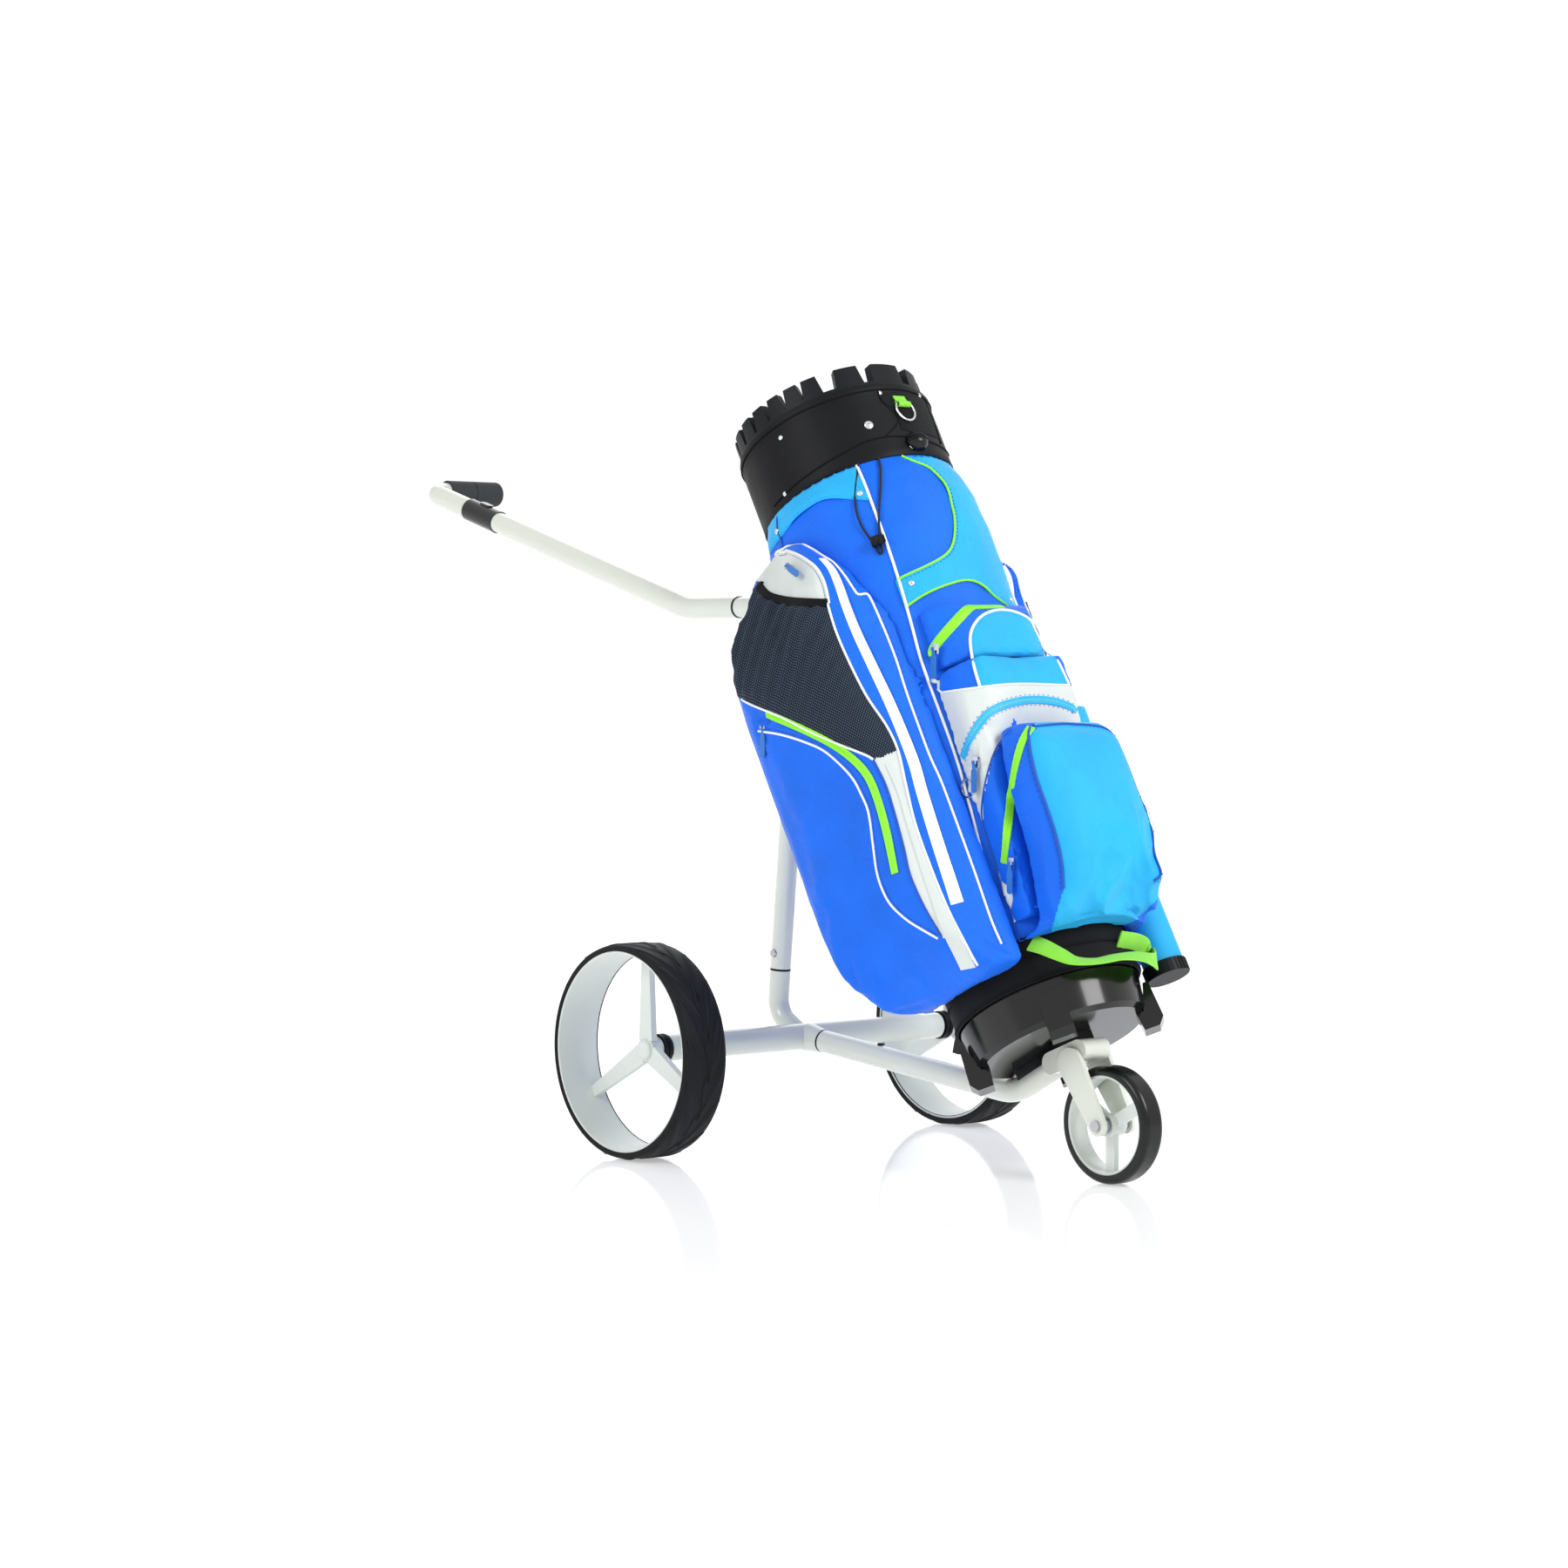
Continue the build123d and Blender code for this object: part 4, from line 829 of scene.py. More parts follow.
# ---------------------------------------------------------------------------
# Bag body
# ---------------------------------------------------------------------------
TRUNK = [(119.6, 50.5), (119.6, 112), (121.5, 114), (126, 200), (131, 320), (137, 500), (142, 620), (143, 680),
         (140.5, 730), (135, 757), (129.5, 773), (128, 781), (127.6, 799)]


def trunk_radius(s):
    """Radius of the trunk's skin at a height."""
    for (r1, s1), (r2, s2) in zip(TRUNK, TRUNK[1:]):
        if s <= s2:
            return r1 + (r2 - r1) * (s - s1) / (s2 - s1)
    return TRUNK[-1][0]


def folds(phi, s, depth, size):
    """A smooth uneven swell used for slack fabric."""
    a = math.radians(phi)
    p = Vector((math.cos(a) * 140 / size, math.sin(a) * 140 / size, s / size))
    return depth * noise.noise(p)


class BAGCART_OT_trunk(Piece, bpy.types.Operator):
    """The bag's fabric tube, its raised front panel, rain-hood flap and black foot band"""

    bl_idname = "bagcart.trunk"
    bl_label = "Trunk"

    def skin(self, outline, rise, material, name, slot):
        """A raised patch of the trunk inside an outline of (angle, height)."""
        flat = np.array(outline, float)
        lo, hi = flat.min(axis=0), flat.max(axis=0)
        work = Work()
        cols, rows = max(8, int((hi[0] - lo[0]) / 1.2)), max(8, int((hi[1] - lo[1]) / 3))
        spots = np.array([(lo[0] + (hi[0] - lo[0]) * i / cols, lo[1] + (hi[1] - lo[1]) * j / rows)
                          for j in range(rows + 1) for i in range(cols + 1)])
        ok = inside(spots, flat)
        edge = np.concatenate([flat, flat[:1]])
        dense = np.array([p for a, b in zip(edge, edge[1:]) for p in np.linspace(a, b, 12)])
        verts = []
        for k, (phi, s) in enumerate(spots):
            gap = np.hypot((dense[:, 0] - phi) * 2.4, dense[:, 1] - s)
            d = float(gap.min())
            if not ok[k] and d < 5:
                phi, s = dense[int(gap.argmin())]
                d = 0.0
            lift = rise * min(1.0, 0.45 + d / 8)
            verts.append(polar(phi, s, trunk_radius(s) + 0.3 + lift + folds(phi, s, 1.4, 34)))
            ok[k] = ok[k] or d == 0.0
        n = cols + 1
        faces = [[j * n + i, j * n + i + 1, (j + 1) * n + i + 1, (j + 1) * n + i] for j in range(rows)
                 for i in range(cols) if ok[j * n + i] and ok[j * n + i + 1] and ok[(j + 1) * n + i + 1]
                 and ok[(j + 1) * n + i]]
        work.add(verts, faces, material)
        me = work.mesh(name)
        bm = bmesh.new()
        bm.from_mesh(me)
        bmesh.ops.delete(bm, geom=[v for v in bm.verts if not v.link_faces], context="VERTS")
        bmesh.ops.remove_doubles(bm, verts=bm.verts, dist=1e-5)
        bmesh.ops.recalc_face_normals(bm, faces=bm.faces)
        axis_side = sum((f.normal.dot(f.calc_center_median() - at(0, 0, in_bag([f.calc_center_median()])[0][2]))
                         for f in list(bm.faces)[:200]))
        if axis_side < 0:
            bmesh.ops.reverse_faces(bm, faces=bm.faces)
        bm.to_mesh(me)
        bm.free()
        obj = link(me, name, "bag")
        mod = obj.modifiers.new("Cloth thickness", "SOLIDIFY")
        mod.thickness = 1.4 * MM
        mod.offset = -1
        settle(obj)
        return obj

    def execute(self, context):
        sizes = context.scene.bag_cart_sizes
        outer = [(trunk_radius(s), s) for s in np.linspace(70, 799, 146)]
        work = Work()
        work.lathe([(r, s) for r, s in outer] + [(r - 3, s) for r, s in outer[::-1]], paints["blue"],
                   lambda phi, s, r: polar(phi, s, r + (folds(phi, s, 1.6, 40) if r > 110 and 125 < s < 770 else 0)),
                   segments=144)
        floor = [polar(a * 5, 14, 105) for a in range(72)]
        work.add(floor, [list(range(72))], paints["lining"])
        work.tube([[polar(a, 14, 108), polar(a, 14, 105), polar(a, 52, 113), polar(a, 52, 116)]
                   for a in range(0, 360, 5)], paints["lining"], closed=True)
        trunk = link(work.mesh("trunk"), "trunk_fabric", "bag", "trunk")
        lime1 = [(-13, 778), (-7, 766), (0, 756), (3, 741), (5, 720), (3, 694), (0, 668), (-4, 647), (-9, 630),
                 (-16, 619), (-27, 611), (-43, 604)]
        lime2 = [(-44, 566), (-32, 575), (-17, 582), (-6, 585), (2, 580), (8, 570), (16, 558), (30, 552),
                 (50, 552)]
        # The front panel and the hood flap are made in the painted-lighter blue: key light painted into their colour
        front = self.skin(lime1 + [(-44, 604)] + lime2 + [(52, 552), (52, 620), (50, 700), (46, 778)], 2.2,
                          paints["sky"], "front_panel", "blue_nylon")
        low_edge = [(-118, 742), (-100, 742), (-83, 749), (-68, 751), (-60, 746), (-52, 735), (-42, 722)]
        flap = self.skin(low_edge + [(-40, 730), (-40, 779), (-118, 779)], 3.4, paints["sky"], "hood_flap",
                         "blue_nylon")
        skin = Skin(trunk, front, flap)
        trim = Work()
        pip = sizes.piping
        for sign in (1, -1):
            white = [(-41 * sign, 778), (-41 * sign, 684), (-42 * sign, 604), (-44 * sign, 540),
                     (-46 * sign, 480), (-47 * sign, 342), (-54 * sign, 200), (-60 * sign, 118)]
            if sign < 0:
                white = white[2:]
            trim.piping(skin.round(white), pip * 1.25, paints["white_band"])
        trim.piping(skin.round(lime1), pip, paints["lime"])
        trim.piping(skin.round(lime2), pip, paints["lime"])
        # The flap's piping is the painted-lighter blue as well
        trim.piping(skin.round(low_edge), pip * 0.9, paints["sky"])
        for phi in (100, 180, 260):
            trim.piping(skin.round([(phi, 776), (phi, 600), (phi, 300), (phi, 116)]), pip * 0.8, paints["deep"])
        link(trim.mesh("trunk_trim"), "trunk_piping", "bag")
        rows = [beside(skin.round(lime1, step=sizes.stitch_pitch), 4 * MM),
                beside(skin.round(lime2, step=sizes.stitch_pitch), -4 * MM)]
        repeat("trunk_stitches", [p for row in rows for p in row], "stitch", (0.0034, 0.0011, 0.0011),
               paints["deep"], "bag")
        spots = skin.round([(-36.5, 594), (-36.4, 593)]) + skin.round([(29, 566), (29.1, 565)])
        spots += skin.round([(-45, 734), (-45.1, 733)]) + skin.round([(-101, 752), (-101.1, 751)])
        repeat("flap_rivets", spots[::2], "rivet", (0.0085, 0.0085, 0.0044), paints["chrome"], "bag")
        repeat("flap_rivet_eyes", spots[::2], "rivet", (0.0035, 0.0035, 0.0062), paints["steel"], "bag")
        band = Work()
        band.lathe([(120.0, 52), (121.6, 52), (122.1, 60), (121.4, 78), (122.2, 96), (121.5, 110), (120.0, 110)],
                   paints["black_nylon"], lambda phi, s, r: polar(phi, s, r + folds(phi, s, 0.9, 22)
                                                                  if r > 120.5 else r))
        for s, r in ((56, 121.9), (84, 122.0), (109, 121.8)):
            ring = [(polar(a, s, r), (polar(a, s, 200) - polar(a, s, 0)).normalized(),
                     (polar(a + 1, s, r) - polar(a - 1, s, r)).normalized()) for a in range(0, 360, 3)]
            band.piping(ring, pip * 0.9, paints["hem"], closed=True)
        link(band.mesh("band"), "foot_band", "bag", "lower_band")
        self.need(len(front.data.polygons) > 50 and len(flap.data.polygons) > 50, "a trunk panel is empty")
        return {"FINISHED"}


class BAGCART_OT_collar(Piece, bpy.types.Operator):
    """Leatherette collar with turned edges, seams, rivets, the ring's loop and the carry knob"""

    bl_idname = "bagcart.collar"
    bl_label = "Collar"

    def execute(self, context):
        sizes = context.scene.bag_cart_sizes
        work = Work()
        profile = [(128.2, 779), (130.6, 779), (131.9, 782), (131.2, 790), (131.4, 812), (131.7, 845),
                   (131.4, 872), (132.1, 880), (132.4, 884), (131.2, 887), (128.2, 887)]

        def shape(phi, s, r):
            if r < 129:
                return polar(phi, s, r)
            drop = (6 * math.exp(-((phi % 360 - 256) / 22) ** 2) if s < 800 else 0)
            return polar(phi, s - drop, r + folds(phi, s, 0.8, 30))

        work.lathe(profile, paints["leather"], shape)
        collar = link(work.mesh("collar"), "neck_collar", "bag", "collar")
        skin = Skin(collar)
        trim = Work()
        fold = [(-100, 788), (-80, 791), (-59, 796), (-44, 801), (-32, 806), (-18, 807), (-2, 804), (20, 800),
                (44, 802)]
        panel = [(-13, 874), (-13, 857), (-6, 846), (-7, 827), (-20, 806)]
        for line in (fold, panel, [(30, 876), (30, 840), (28, 806)]):
            trim.piping(skin.round(line), 0.0011, paints["hem"])
        ring = [(p, n, t) for p, n, t in skin.round([(a, 877) for a in range(0, 361, 15)])]
        trim.piping(ring[:-1], 0.0012, paints["hem"], closed=True)
        patch = [skin.round([(-13 + k * 2.1, 872), (-11 + k * 2.1, 850), (-7 + k * 1.8, 838), (-7 + k * 1.7, 812)],
                            step=0.003, lift=0.0006) for k in range(21)]
        rows = min(len(c) for c in patch)
        verts = [c[i][0] for c in patch for i in range(rows)]
        faces = [[a * rows + i, (a + 1) * rows + i, (a + 1) * rows + i + 1, a * rows + i + 1]
                 for a in range(len(patch) - 1) for i in range(rows - 1)]
        trim.add(verts, faces, paints["black_nylon"])
        link(trim.mesh("collar_trim"), "collar_seams", "bag")
        rivets = [(-77, 860), (-12, 872), (23, 877), (-88, 790), (-4, 790), (2.6, 789), (100, 862), (160, 862),
                  (220, 862), (150, 792), (210, 792)]
        spots = [skin.round([(a, s), (a + 0.2, s)])[0] for a, s in rivets]
        repeat("collar_rivets", spots, "rivet", (0.007, 0.007, 0.0036), paints["chrome"], "bag")
        eye = [skin.round([(-26, 828), (-25.8, 828)])[0]]
        repeat("collar_eyelet", eye, "rivet", (0.0125, 0.0125, 0.0034), paints["chrome"], "bag")
        repeat("collar_eyelet_core", eye, "rivet", (0.0062, 0.0062, 0.0046), paints["steel"], "bag")
        row = skin.round([(a, 869) for a in range(-180, 181, 10)], step=sizes.stitch_pitch)
        repeat("collar_stitches", row, "stitch", (0.0034, 0.001, 0.001), paints["hem"], "bag")
        loop = Work()
        u, s = 134.9, 852.0
        path = [(132.0, s + 14), (133.0, s + 8), (135.4, s + 4.0), (138.6, s + 1.6), (138.3, s - 2.2),
                (135.0, s - 3.2), (132.6, s - 1.0), (132.2, s + 6)]
        rings = [(q.x, q.y) for q in resample([(a, b, 0) for a, b in path], 0.9)]
        spine = []
        for k, (a, b) in enumerate(rings):
            q, o = rings[min(k + 1, len(rings) - 1)], rings[max(k - 1, 0)]
            t = (at(q[0], 0, q[1]) - at(o[0], 0, o[1])).normalized()
            spine.append((at(a, 0, b), LEFT.cross(t).normalized(), t))
        loop.strip(spine, 0.020, 0.0011, paints["webbing"])
        link(loop.mesh("loop"), "ring_webbing", "bag", "ring_loop")
        knob = Work()
        rings = []
        for k in range(13):
            f = k / 12
            half = 16 * math.sin(math.pi * (0.12 + 0.8 * f)) ** 0.7
            rings.append([at(133.0 + max(0.0, math.cos(a)) * (3 + 11 * math.sin(math.pi * min(1, 0.15 + f * 0.85))),
                             math.sin(a) * half, 783.5 + 26 * f) for a in np.linspace(-math.pi, math.pi, 25)[:-1]])
        knob.tube(rings, paints["rubber"])
        for k in range(3):
            rings = []
            f = 0.45 + k * 0.14
            half = 16 * math.sin(math.pi * (0.12 + 0.8 * f)) ** 0.7
            deep = 3 + 11 * math.sin(math.pi * min(1, 0.15 + f * 0.85))
            line = [(at(133.0 + math.cos(a) * deep, math.sin(a) * half, 783.5 + 26 * f),
                     (FRONT * math.cos(a) + LEFT * math.sin(a)).normalized(),
                     (LEFT * math.cos(a) - FRONT * math.sin(a)).normalized())
                    for a in np.linspace(-1.4, 1.4, 20)]
            knob.piping(line, 0.0011, paints["plastic"])
        link(knob.mesh("knob"), "carry_handle_knob", "bag", "carry_knob")
        self.need(len(collar.data.polygons) > 500, "the collar is empty")
        return {"FINISHED"}


# ---------------------------------------------------------------------------
# Pockets
# ---------------------------------------------------------------------------
# Lines on the right side pocket, in bag coordinates (u, s) at the v that follows
POUCH_LINES = {
    "arch": (-150, [(-44, 736), (-17, 735), (16, 724), (44, 706), (68, 680), (84, 648), (93, 614), (100, 576),
                    (103, 536), (104, 492), (101, 444), (100, 395), (100, 353), (103, 318), (103, 254),
                    (102, 189), (100, 131), (102, 96)]),
    "panel": (-165, [(-30, 727), (-5, 712), (18, 693), (38, 668), (47, 650), (49, 627), (44, 604)]),
    "hem": (-175, [(-56, 694), (-46, 668), (-23, 647), (8, 626), (51, 600)]),
    "mesh_front": (-168, [(44, 604), (41, 565), (44, 519), (52, 465), (66, 417), (70, 380), (63, 340),
                          (54, 286), (53, 221), (56, 162), (66, 101), (70, 84)]),
    "mesh_low": (-185, [(-160, 589), (-134, 557), (-89, 514), (-47, 469), (-4, 427), (33, 392), (41, 382)]),
    "mesh_rear": (-150, [(-76, 704), (-111, 700), (-147, 690), (-171, 672), (-191, 637), (-197, 609)]),
    "band": (-165, [(60, 660), (69, 640), (71, 615), (70, 587), (71, 548), (76, 499), (82, 443), (85, 391),
                    (85, 350), (81, 318), (76, 254), (73, 199), (71, 167)]),
    "wide_band": (-172, [(48, 372), (52, 330), (50, 290), (49, 247), (49, 193), (51, 134), (57, 86)]),
    "pale_edge": (-185, [(41, 382), (46, 345), (44, 310), (38, 260), (32, 226), (36, 180), (46, 136)]),
    "zip": (-190, [(-105, 526), (-73, 496), (-39, 462), (-10, 430), (14, 396), (27, 366), (29, 333),
                   (24, 290), (13, 238)]),
    "pouch": (-190, [(-129, 514), (-95, 491), (-62, 464), (-31, 434), (-11, 403), (2, 375), (6, 350), (7, 326),
                     (-5, 287), (-16, 250), (-14, 213), (4, 180), (25, 155), (44, 134)]),
}


def line(name):
    """World points of a named line on the right side pocket."""
    v, pts = POUCH_LINES[name]
    return [at(u, v, s) for u, s in pts]


def evenly(start, end, count):
    """Values that change evenly from start to end."""
    return [start + (end - start) * k / max(1, count - 1) for k in range(count)]


class BAGCART_OT_side_pockets(Piece, bpy.types.Operator):
    """Padded side pockets with mesh pouches, panels, bands, zips and piping"""

    bl_idname = "bagcart.side_pockets"
    bl_label = "Side pockets"

    def execute(self, context):
        sizes = context.scene.bag_cart_sizes
        pip = sizes.piping
        skins = {}
        outline = line("hem") + line("mesh_front")[:6] + line("mesh_low")[::-1] + line("mesh_rear")[::-1]
        top = line("panel") + line("hem")[::-1]
        tip = line("mesh_front")[5:] + line("pale_edge")[::-1]
        for side in ("right", "left"):
            flip = side == "left"
            pouch = soft_body("side_pouch_" + side, ["side_pocket_" + side, "mesh_pocket_" + side], 4.0,
                              sizes.swell, sizes.voxel, 7,
                              [paints[k] for k in ("blue", "mesh", "pale")])
            reshape(pouch, self.fuller)
            crumple(pouch, 1.5, 55, lambda b: min(1.0, max(0.0, (420 - b[2]) / 160)) + 0.25)
            make_room(pouch)
            paint_faces(pouch, top, 2, flip)
            paint_faces(pouch, tip, 2, flip)
            paint_faces(pouch, outline, 1, flip)
            skins[side] = Skin(pouch)
            self.pouch_net(pouch, flip, side)
        right, left = skins["right"], skins["left"]
        tracks = {name: right.seen(line(name)) for name in POUCH_LINES}
        for side in ("right", "left"):
            lay = (lambda t: t) if side == "right" else (lambda t: mirrored(t, left))
            trim = Work()
            laid = {name: lay(t) for name, t in tracks.items()}
            for name, paint in (("arch", "white_band"), ("panel", "white_band"), ("mesh_front", "white_band"),
                                ("mesh_low", "white_band"), ("pouch", "white_band"), ("mesh_rear", "deep"),
                                ("pale_edge", "deep")):
                trim.piping(laid[name], pip if paint != "deep" else pip * 0.8, paints[paint])
            n = len(laid["band"])
            trim.strip(laid["band"], evenly(0.0105, 0.0165, n), 0.0011, paints["white_band"])
            n = len(laid["wide_band"])
            trim.strip(laid["wide_band"], evenly(0.004, 0.023, n), 0.0012, paints["pale"])
            trim.strip(laid["zip"], sizes.zip_width, 0.0014, paints["lime"])
            trim.strip(laid["hem"], 0.0115, 0.0024, paints["hem"])
            link(trim.mesh("pocket_trim_" + side), "side_pocket_trim_" + side, "bag")
            rib = [(p + n * 0.0012, n, t) for p, n, t in laid["zip"]]
            teeth = self.spread(rib, 0.0022)
            repeat("side_zip_coil_" + side, teeth, "stitch", (0.0012, 0.0026, 0.0011), paints["webbing"], "bag")
            stitches = []
            for name, offset in (("zip", 0.0068), ("zip", -0.0068), ("band", 0.0085), ("panel", -0.004),
                                 ("pouch", 0.004), ("arch", 0.0045)):
                stitches += self.spread(beside(laid[name], offset), sizes.stitch_pitch)
            repeat("side_stitches_" + side, stitches, "stitch", (0.0034, 0.001, 0.001), paints["deep"], "bag")
        self.need(len(tracks["zip"]) > 10, "the side pocket lines are empty")
        return {"FINISHED"}

    @staticmethod
    def fuller(u, v, s):
        """Rounder towards the rear: the pouch and the lower corner stand out."""
        rear = np.clip((-20 - u) / 110, 0, 1)
        low = s - 8 * np.clip((110 - u) / 200, 0, 1) * hill(s, 60, 130, 60) * (s < 200)
        return u - rear * 20 * hill(s, 60, 640, 90), v * (1 + 0.05 * rear * hill(s, 60, 640, 90)), low

    def spread(self, path, pitch):
        """Every so many points of a track."""
        gap = (path[1][0] - path[0][0]).length or 0.004
        if pitch >= gap:
            return path[::max(1, round(pitch / gap))]
        out = []
        for (p, n, t), (q, m, _) in zip(path, path[1:]):
            steps = max(1, round((q - p).length / pitch))
            out += [(p.lerp(q, k / steps), n.lerp(m, k / steps), t) for k in range(steps)]
        return out

    def pouch_net(self, pouch, flip, side):
        """The knitted pouch: the skin inside its outline, lifted into pleats that fade downwards."""
        me = pouch.data
        chosen = [p for p in me.polygons if p.material_index == 1]
        hem = [at(u, -175 * (-1 if flip else 1), s) for u, s in POUCH_LINES["hem"][1]]
        a, b = hem[0], hem[-1]
        along = (b - a).normalized()
        ids = {i: k for k, i in enumerate(sorted({i for p in chosen for i in p.vertices}))}
        border = {}
        for p in chosen:
            for e in p.edge_keys:
                border[e] = border.get(e, 0) + 1
        rim = {i for e, c in border.items() if c == 1 for i in e}
        rim_co = np.array([me.vertices[i].co for i in rim])
        verts = [None] * len(ids)
        for i, k in ids.items():
            v = me.vertices[i]
            gap = float(np.sqrt(((rim_co - np.array(v.co)) ** 2).sum(axis=1)).min())
            bag = in_bag([v.co])[0]
            place = (v.co - a).dot(along) / MM
            high = max(0.0, min(1.0, (bag[2] - 430) / 200))
            fan = place * (1.0 - 0.25 * high) + 0.12 * (bag[2] - 600)
            pleat = math.sin(fan / 17 * math.tau + 1.3 * math.sin(fan / 31)) * 3.4 * high
            lift = min(1.0, gap / 0.016) * (3.4 + pleat) + 0.5
            verts[k] = v.co + v.normal * lift * MM
        net = Work()
        net.add(verts, [[ids[i] for i in p.vertices] for p in chosen], paints["mesh"])
        me = bpy.data.meshes.new("net")
        me.from_pydata(net.verts, [], net.faces)
        me.materials.append(paints["mesh"])
        me.polygons.foreach_set("use_smooth", [True] * len(me.polygons))
        link(me, "mesh_pouch_" + side, "bag")


class BAGCART_OT_front_pockets(Piece, bpy.types.Operator):
    """Ball pocket, pale pocket and arched pocket with their zips, panels and bindings"""

    bl_idname = "bagcart.front_pockets"
    bl_label = "Front pockets"

    def execute(self, context):
        sizes = context.scene.bag_cart_sizes
        pip = sizes.piping
        ball = soft_body("ball_pouch", ["ball_pocket"], 3.0, sizes.swell, sizes.voxel, 6,
                         [paints["blue"], paints["sky"]])
        pale = soft_body("pale_pouch", ["mid_pocket"], 2.5, sizes.swell * 0.7, sizes.voxel, 4,
                         [paints["pale"], paints["blue"], paints["sky"]])
        arch = soft_body("arched_pouch", ["upper_pocket"], 2.5, sizes.swell * 0.8, sizes.voxel, 4,
                         [paints["blue"], paints["sky"]])
        reshape(ball, self.hang)
        for depth, size in ((11.0, 58), (4.0, 26)):
            crumple(ball, depth, size, lambda b: max(0.0, min(1.0, (240 - b[2]) / 90)) *
                    max(0.0, min(1.0, (b[0] - 118) / 22)) * max(0.25, min(1.0, (b[1] + 80) / 60)) + 0.08)
        crumple(arch, 0.8, 30)
        for pouch in (ball, pale, arch):
            make_room(pouch)
        face = [(-99, 224), (-97, 269), (-90, 305), (-80, 332), (-59, 347), (-26, 352), (9, 353), (41, 349),
                (66, 336), (80, 308), (85, 265), (86, 213), (77, 165), (65, 129), (50, 108)]
        low = [(-123, 119), (-110, 151), (-102, 189)]
        edge = [at(205, v, s) for v, s in low + face]
        foot = [at(150, 40, 95), at(110, -20, 90), at(130, -90, 95)]
        # Slot 1 of the ball and arched pouches and slot 2 of the pale pouch hold the painted-lighter blue, given here
        # to the front faces the key light falls on: painted light
        paint_faces(ball, edge + foot, 1)
        arch_line = [(-82, 421), (-79, 449), (-71, 481), (-60, 501), (-38, 519), (-15, 528), (8, 531), (31, 528),
                     (53, 516), (67, 492), (72, 456), (75, 422)]
        arch_pts = [at(158, v, s) for v, s in arch_line]
        paint_faces(arch, arch_pts, 1)
        brim = [at(83, -97, 451), at(168, -109, 413), at(168, -31, 419), at(168, 61, 417), at(168, 120, 417)]
        paint_faces(pale, brim + [at(168, 160, 560), at(83, -97, 560)], 1)
        paint_faces(pale, arch_pts + [at(168, 90, 405), at(168, -85, 405)], 2)
        paint_faces(pale, brim + [at(168, 160, 300), at(168, -250, 300)], 0)
        side = [(205, 352), (194, 342), (154, 330), (111, 292), (88, 251), (78, 203), (74, 152), (73, 100)]
        paint_faces(pale, [at(u, -97, s) for u, s in side + [(200, 90), (230, 200)]], 1)
        skin_ball, skin_arch = Skin(ball), Skin(arch)
        skin_mid = Skin(pale, arch)
        trim = Work()
        edge_track = skin_ball.seen(edge, reach=0.09)
        trim.piping(edge_track, pip * 1.1, paints["deep"])
        zip_line = Skin(ball, pale).seen([at(u, -97, s) for u, s in ((226, 327), (203, 318), (173, 292),
                                                                     (143, 254), (120, 224), (104, 203))],
                                         reach=0.09)
        trim.piping(Skin(ball, pale).seen([at(u, -97, s) for u, s in side[1:]], reach=0.09), pip * 0.7,
                    paints["deep"])
        trim.strip(zip_line, sizes.zip_width * 1.05, 0.0014, paints["lime"])
        mid_zip = [at(100, -95, 352), at(127, -95, 368), at(158, -84, 384), at(165, -40, 395), at(165, 0, 398),
                   at(165, 37, 394), at(165, 70, 381)]
        zips = [skin_mid.seen(mid_zip, reach=0.05)]
        # The mid zip tape is the painted-lighter blue
        trim.strip(zips[0], sizes.zip_width, 0.0014, paints["sky_zip"])
        upper_zip = [at(104, -92, 493), at(128, -90, 503), at(150, -57, 528), at(150, -33, 541), at(150, -3, 546),
                     at(148, 25, 546)]
        zips.append(skin_arch.seen(upper_zip, reach=0.05))
        n = len(zips[1])
        trim.strip(zips[1], [0.013 * (1 - 0.6 * max(0, k / n - 0.6)) for k in range(n)], 0.0014, paints["lime"])
        trim.piping(skin_mid.seen(arch_pts, reach=0.05), pip * 1.2, paints["white_band"])
        trim.piping(skin_mid.seen(brim[:4], reach=0.08), pip * 0.9, paints["white_band"])
        link(trim.mesh("front_trim"), "front_pocket_trim", "bag")
        stitches = []
        for path, offset in ((zip_line, 0.0072), (zip_line, -0.0072), (edge_track, 0.004), (zips[0], 0.0068),
                             (zips[0], -0.0068), (zips[1], 0.0085), (zips[1], -0.0085)):
            stitches += beside(path, offset)[::2]
        repeat("front_stitches", stitches, "stitch", (0.0034, 0.001, 0.001), paints["deep"], "bag")
        teeth = [(p + n * 0.0012, n, t) for path in [zip_line] + zips for p, n, t in path]
        repeat("front_zip_coil", teeth, "stitch", (0.0026, 0.0024, 0.001), paints["webbing"], "bag")
        ring = Work()
        centre = at(96, -101, 312)
        turn = [(centre + (FRONT * math.cos(a) + UP * math.sin(a)) * 0.011, (FRONT * math.cos(a) + UP * math.sin(a)),
                 (UP * math.cos(a) - FRONT * math.sin(a))) for a in np.linspace(0, math.tau, 41)[:-1]]
        ring.piping(turn, 0.0013, paints["chrome"], closed=True)
        link(ring.mesh("ring"), "accessory_ring", "bag")
        self.need(len(edge_track) > 10, "the ball pocket's edge is empty")
        return {"FINISHED"}

    @staticmethod
    def hang(u, v, s):
        """The ball pouch: arched at the top, its lower front gathered back and down."""
        arch = np.interp(s, [285, 310, 330, 345, 358], [1.0, 0.965, 0.88, 0.76, 0.62])
        front = np.clip((u - 130) / 40, 0, 1)
        v = v * (1 - (1 - arch) * front)
        limit = np.interp(s, [105, 125, 140, 168, 192, 215], [0.62, 0.72, 0.82, 0.9, 0.96, 1.0])
        u = np.where(u > 120, 120 + (u - 120) * limit, u)
        return u, v, np.where(s < 160, 160 - (160 - s) * 1.32, s + 13 * np.clip((s - 200) / 150, 0, 1))


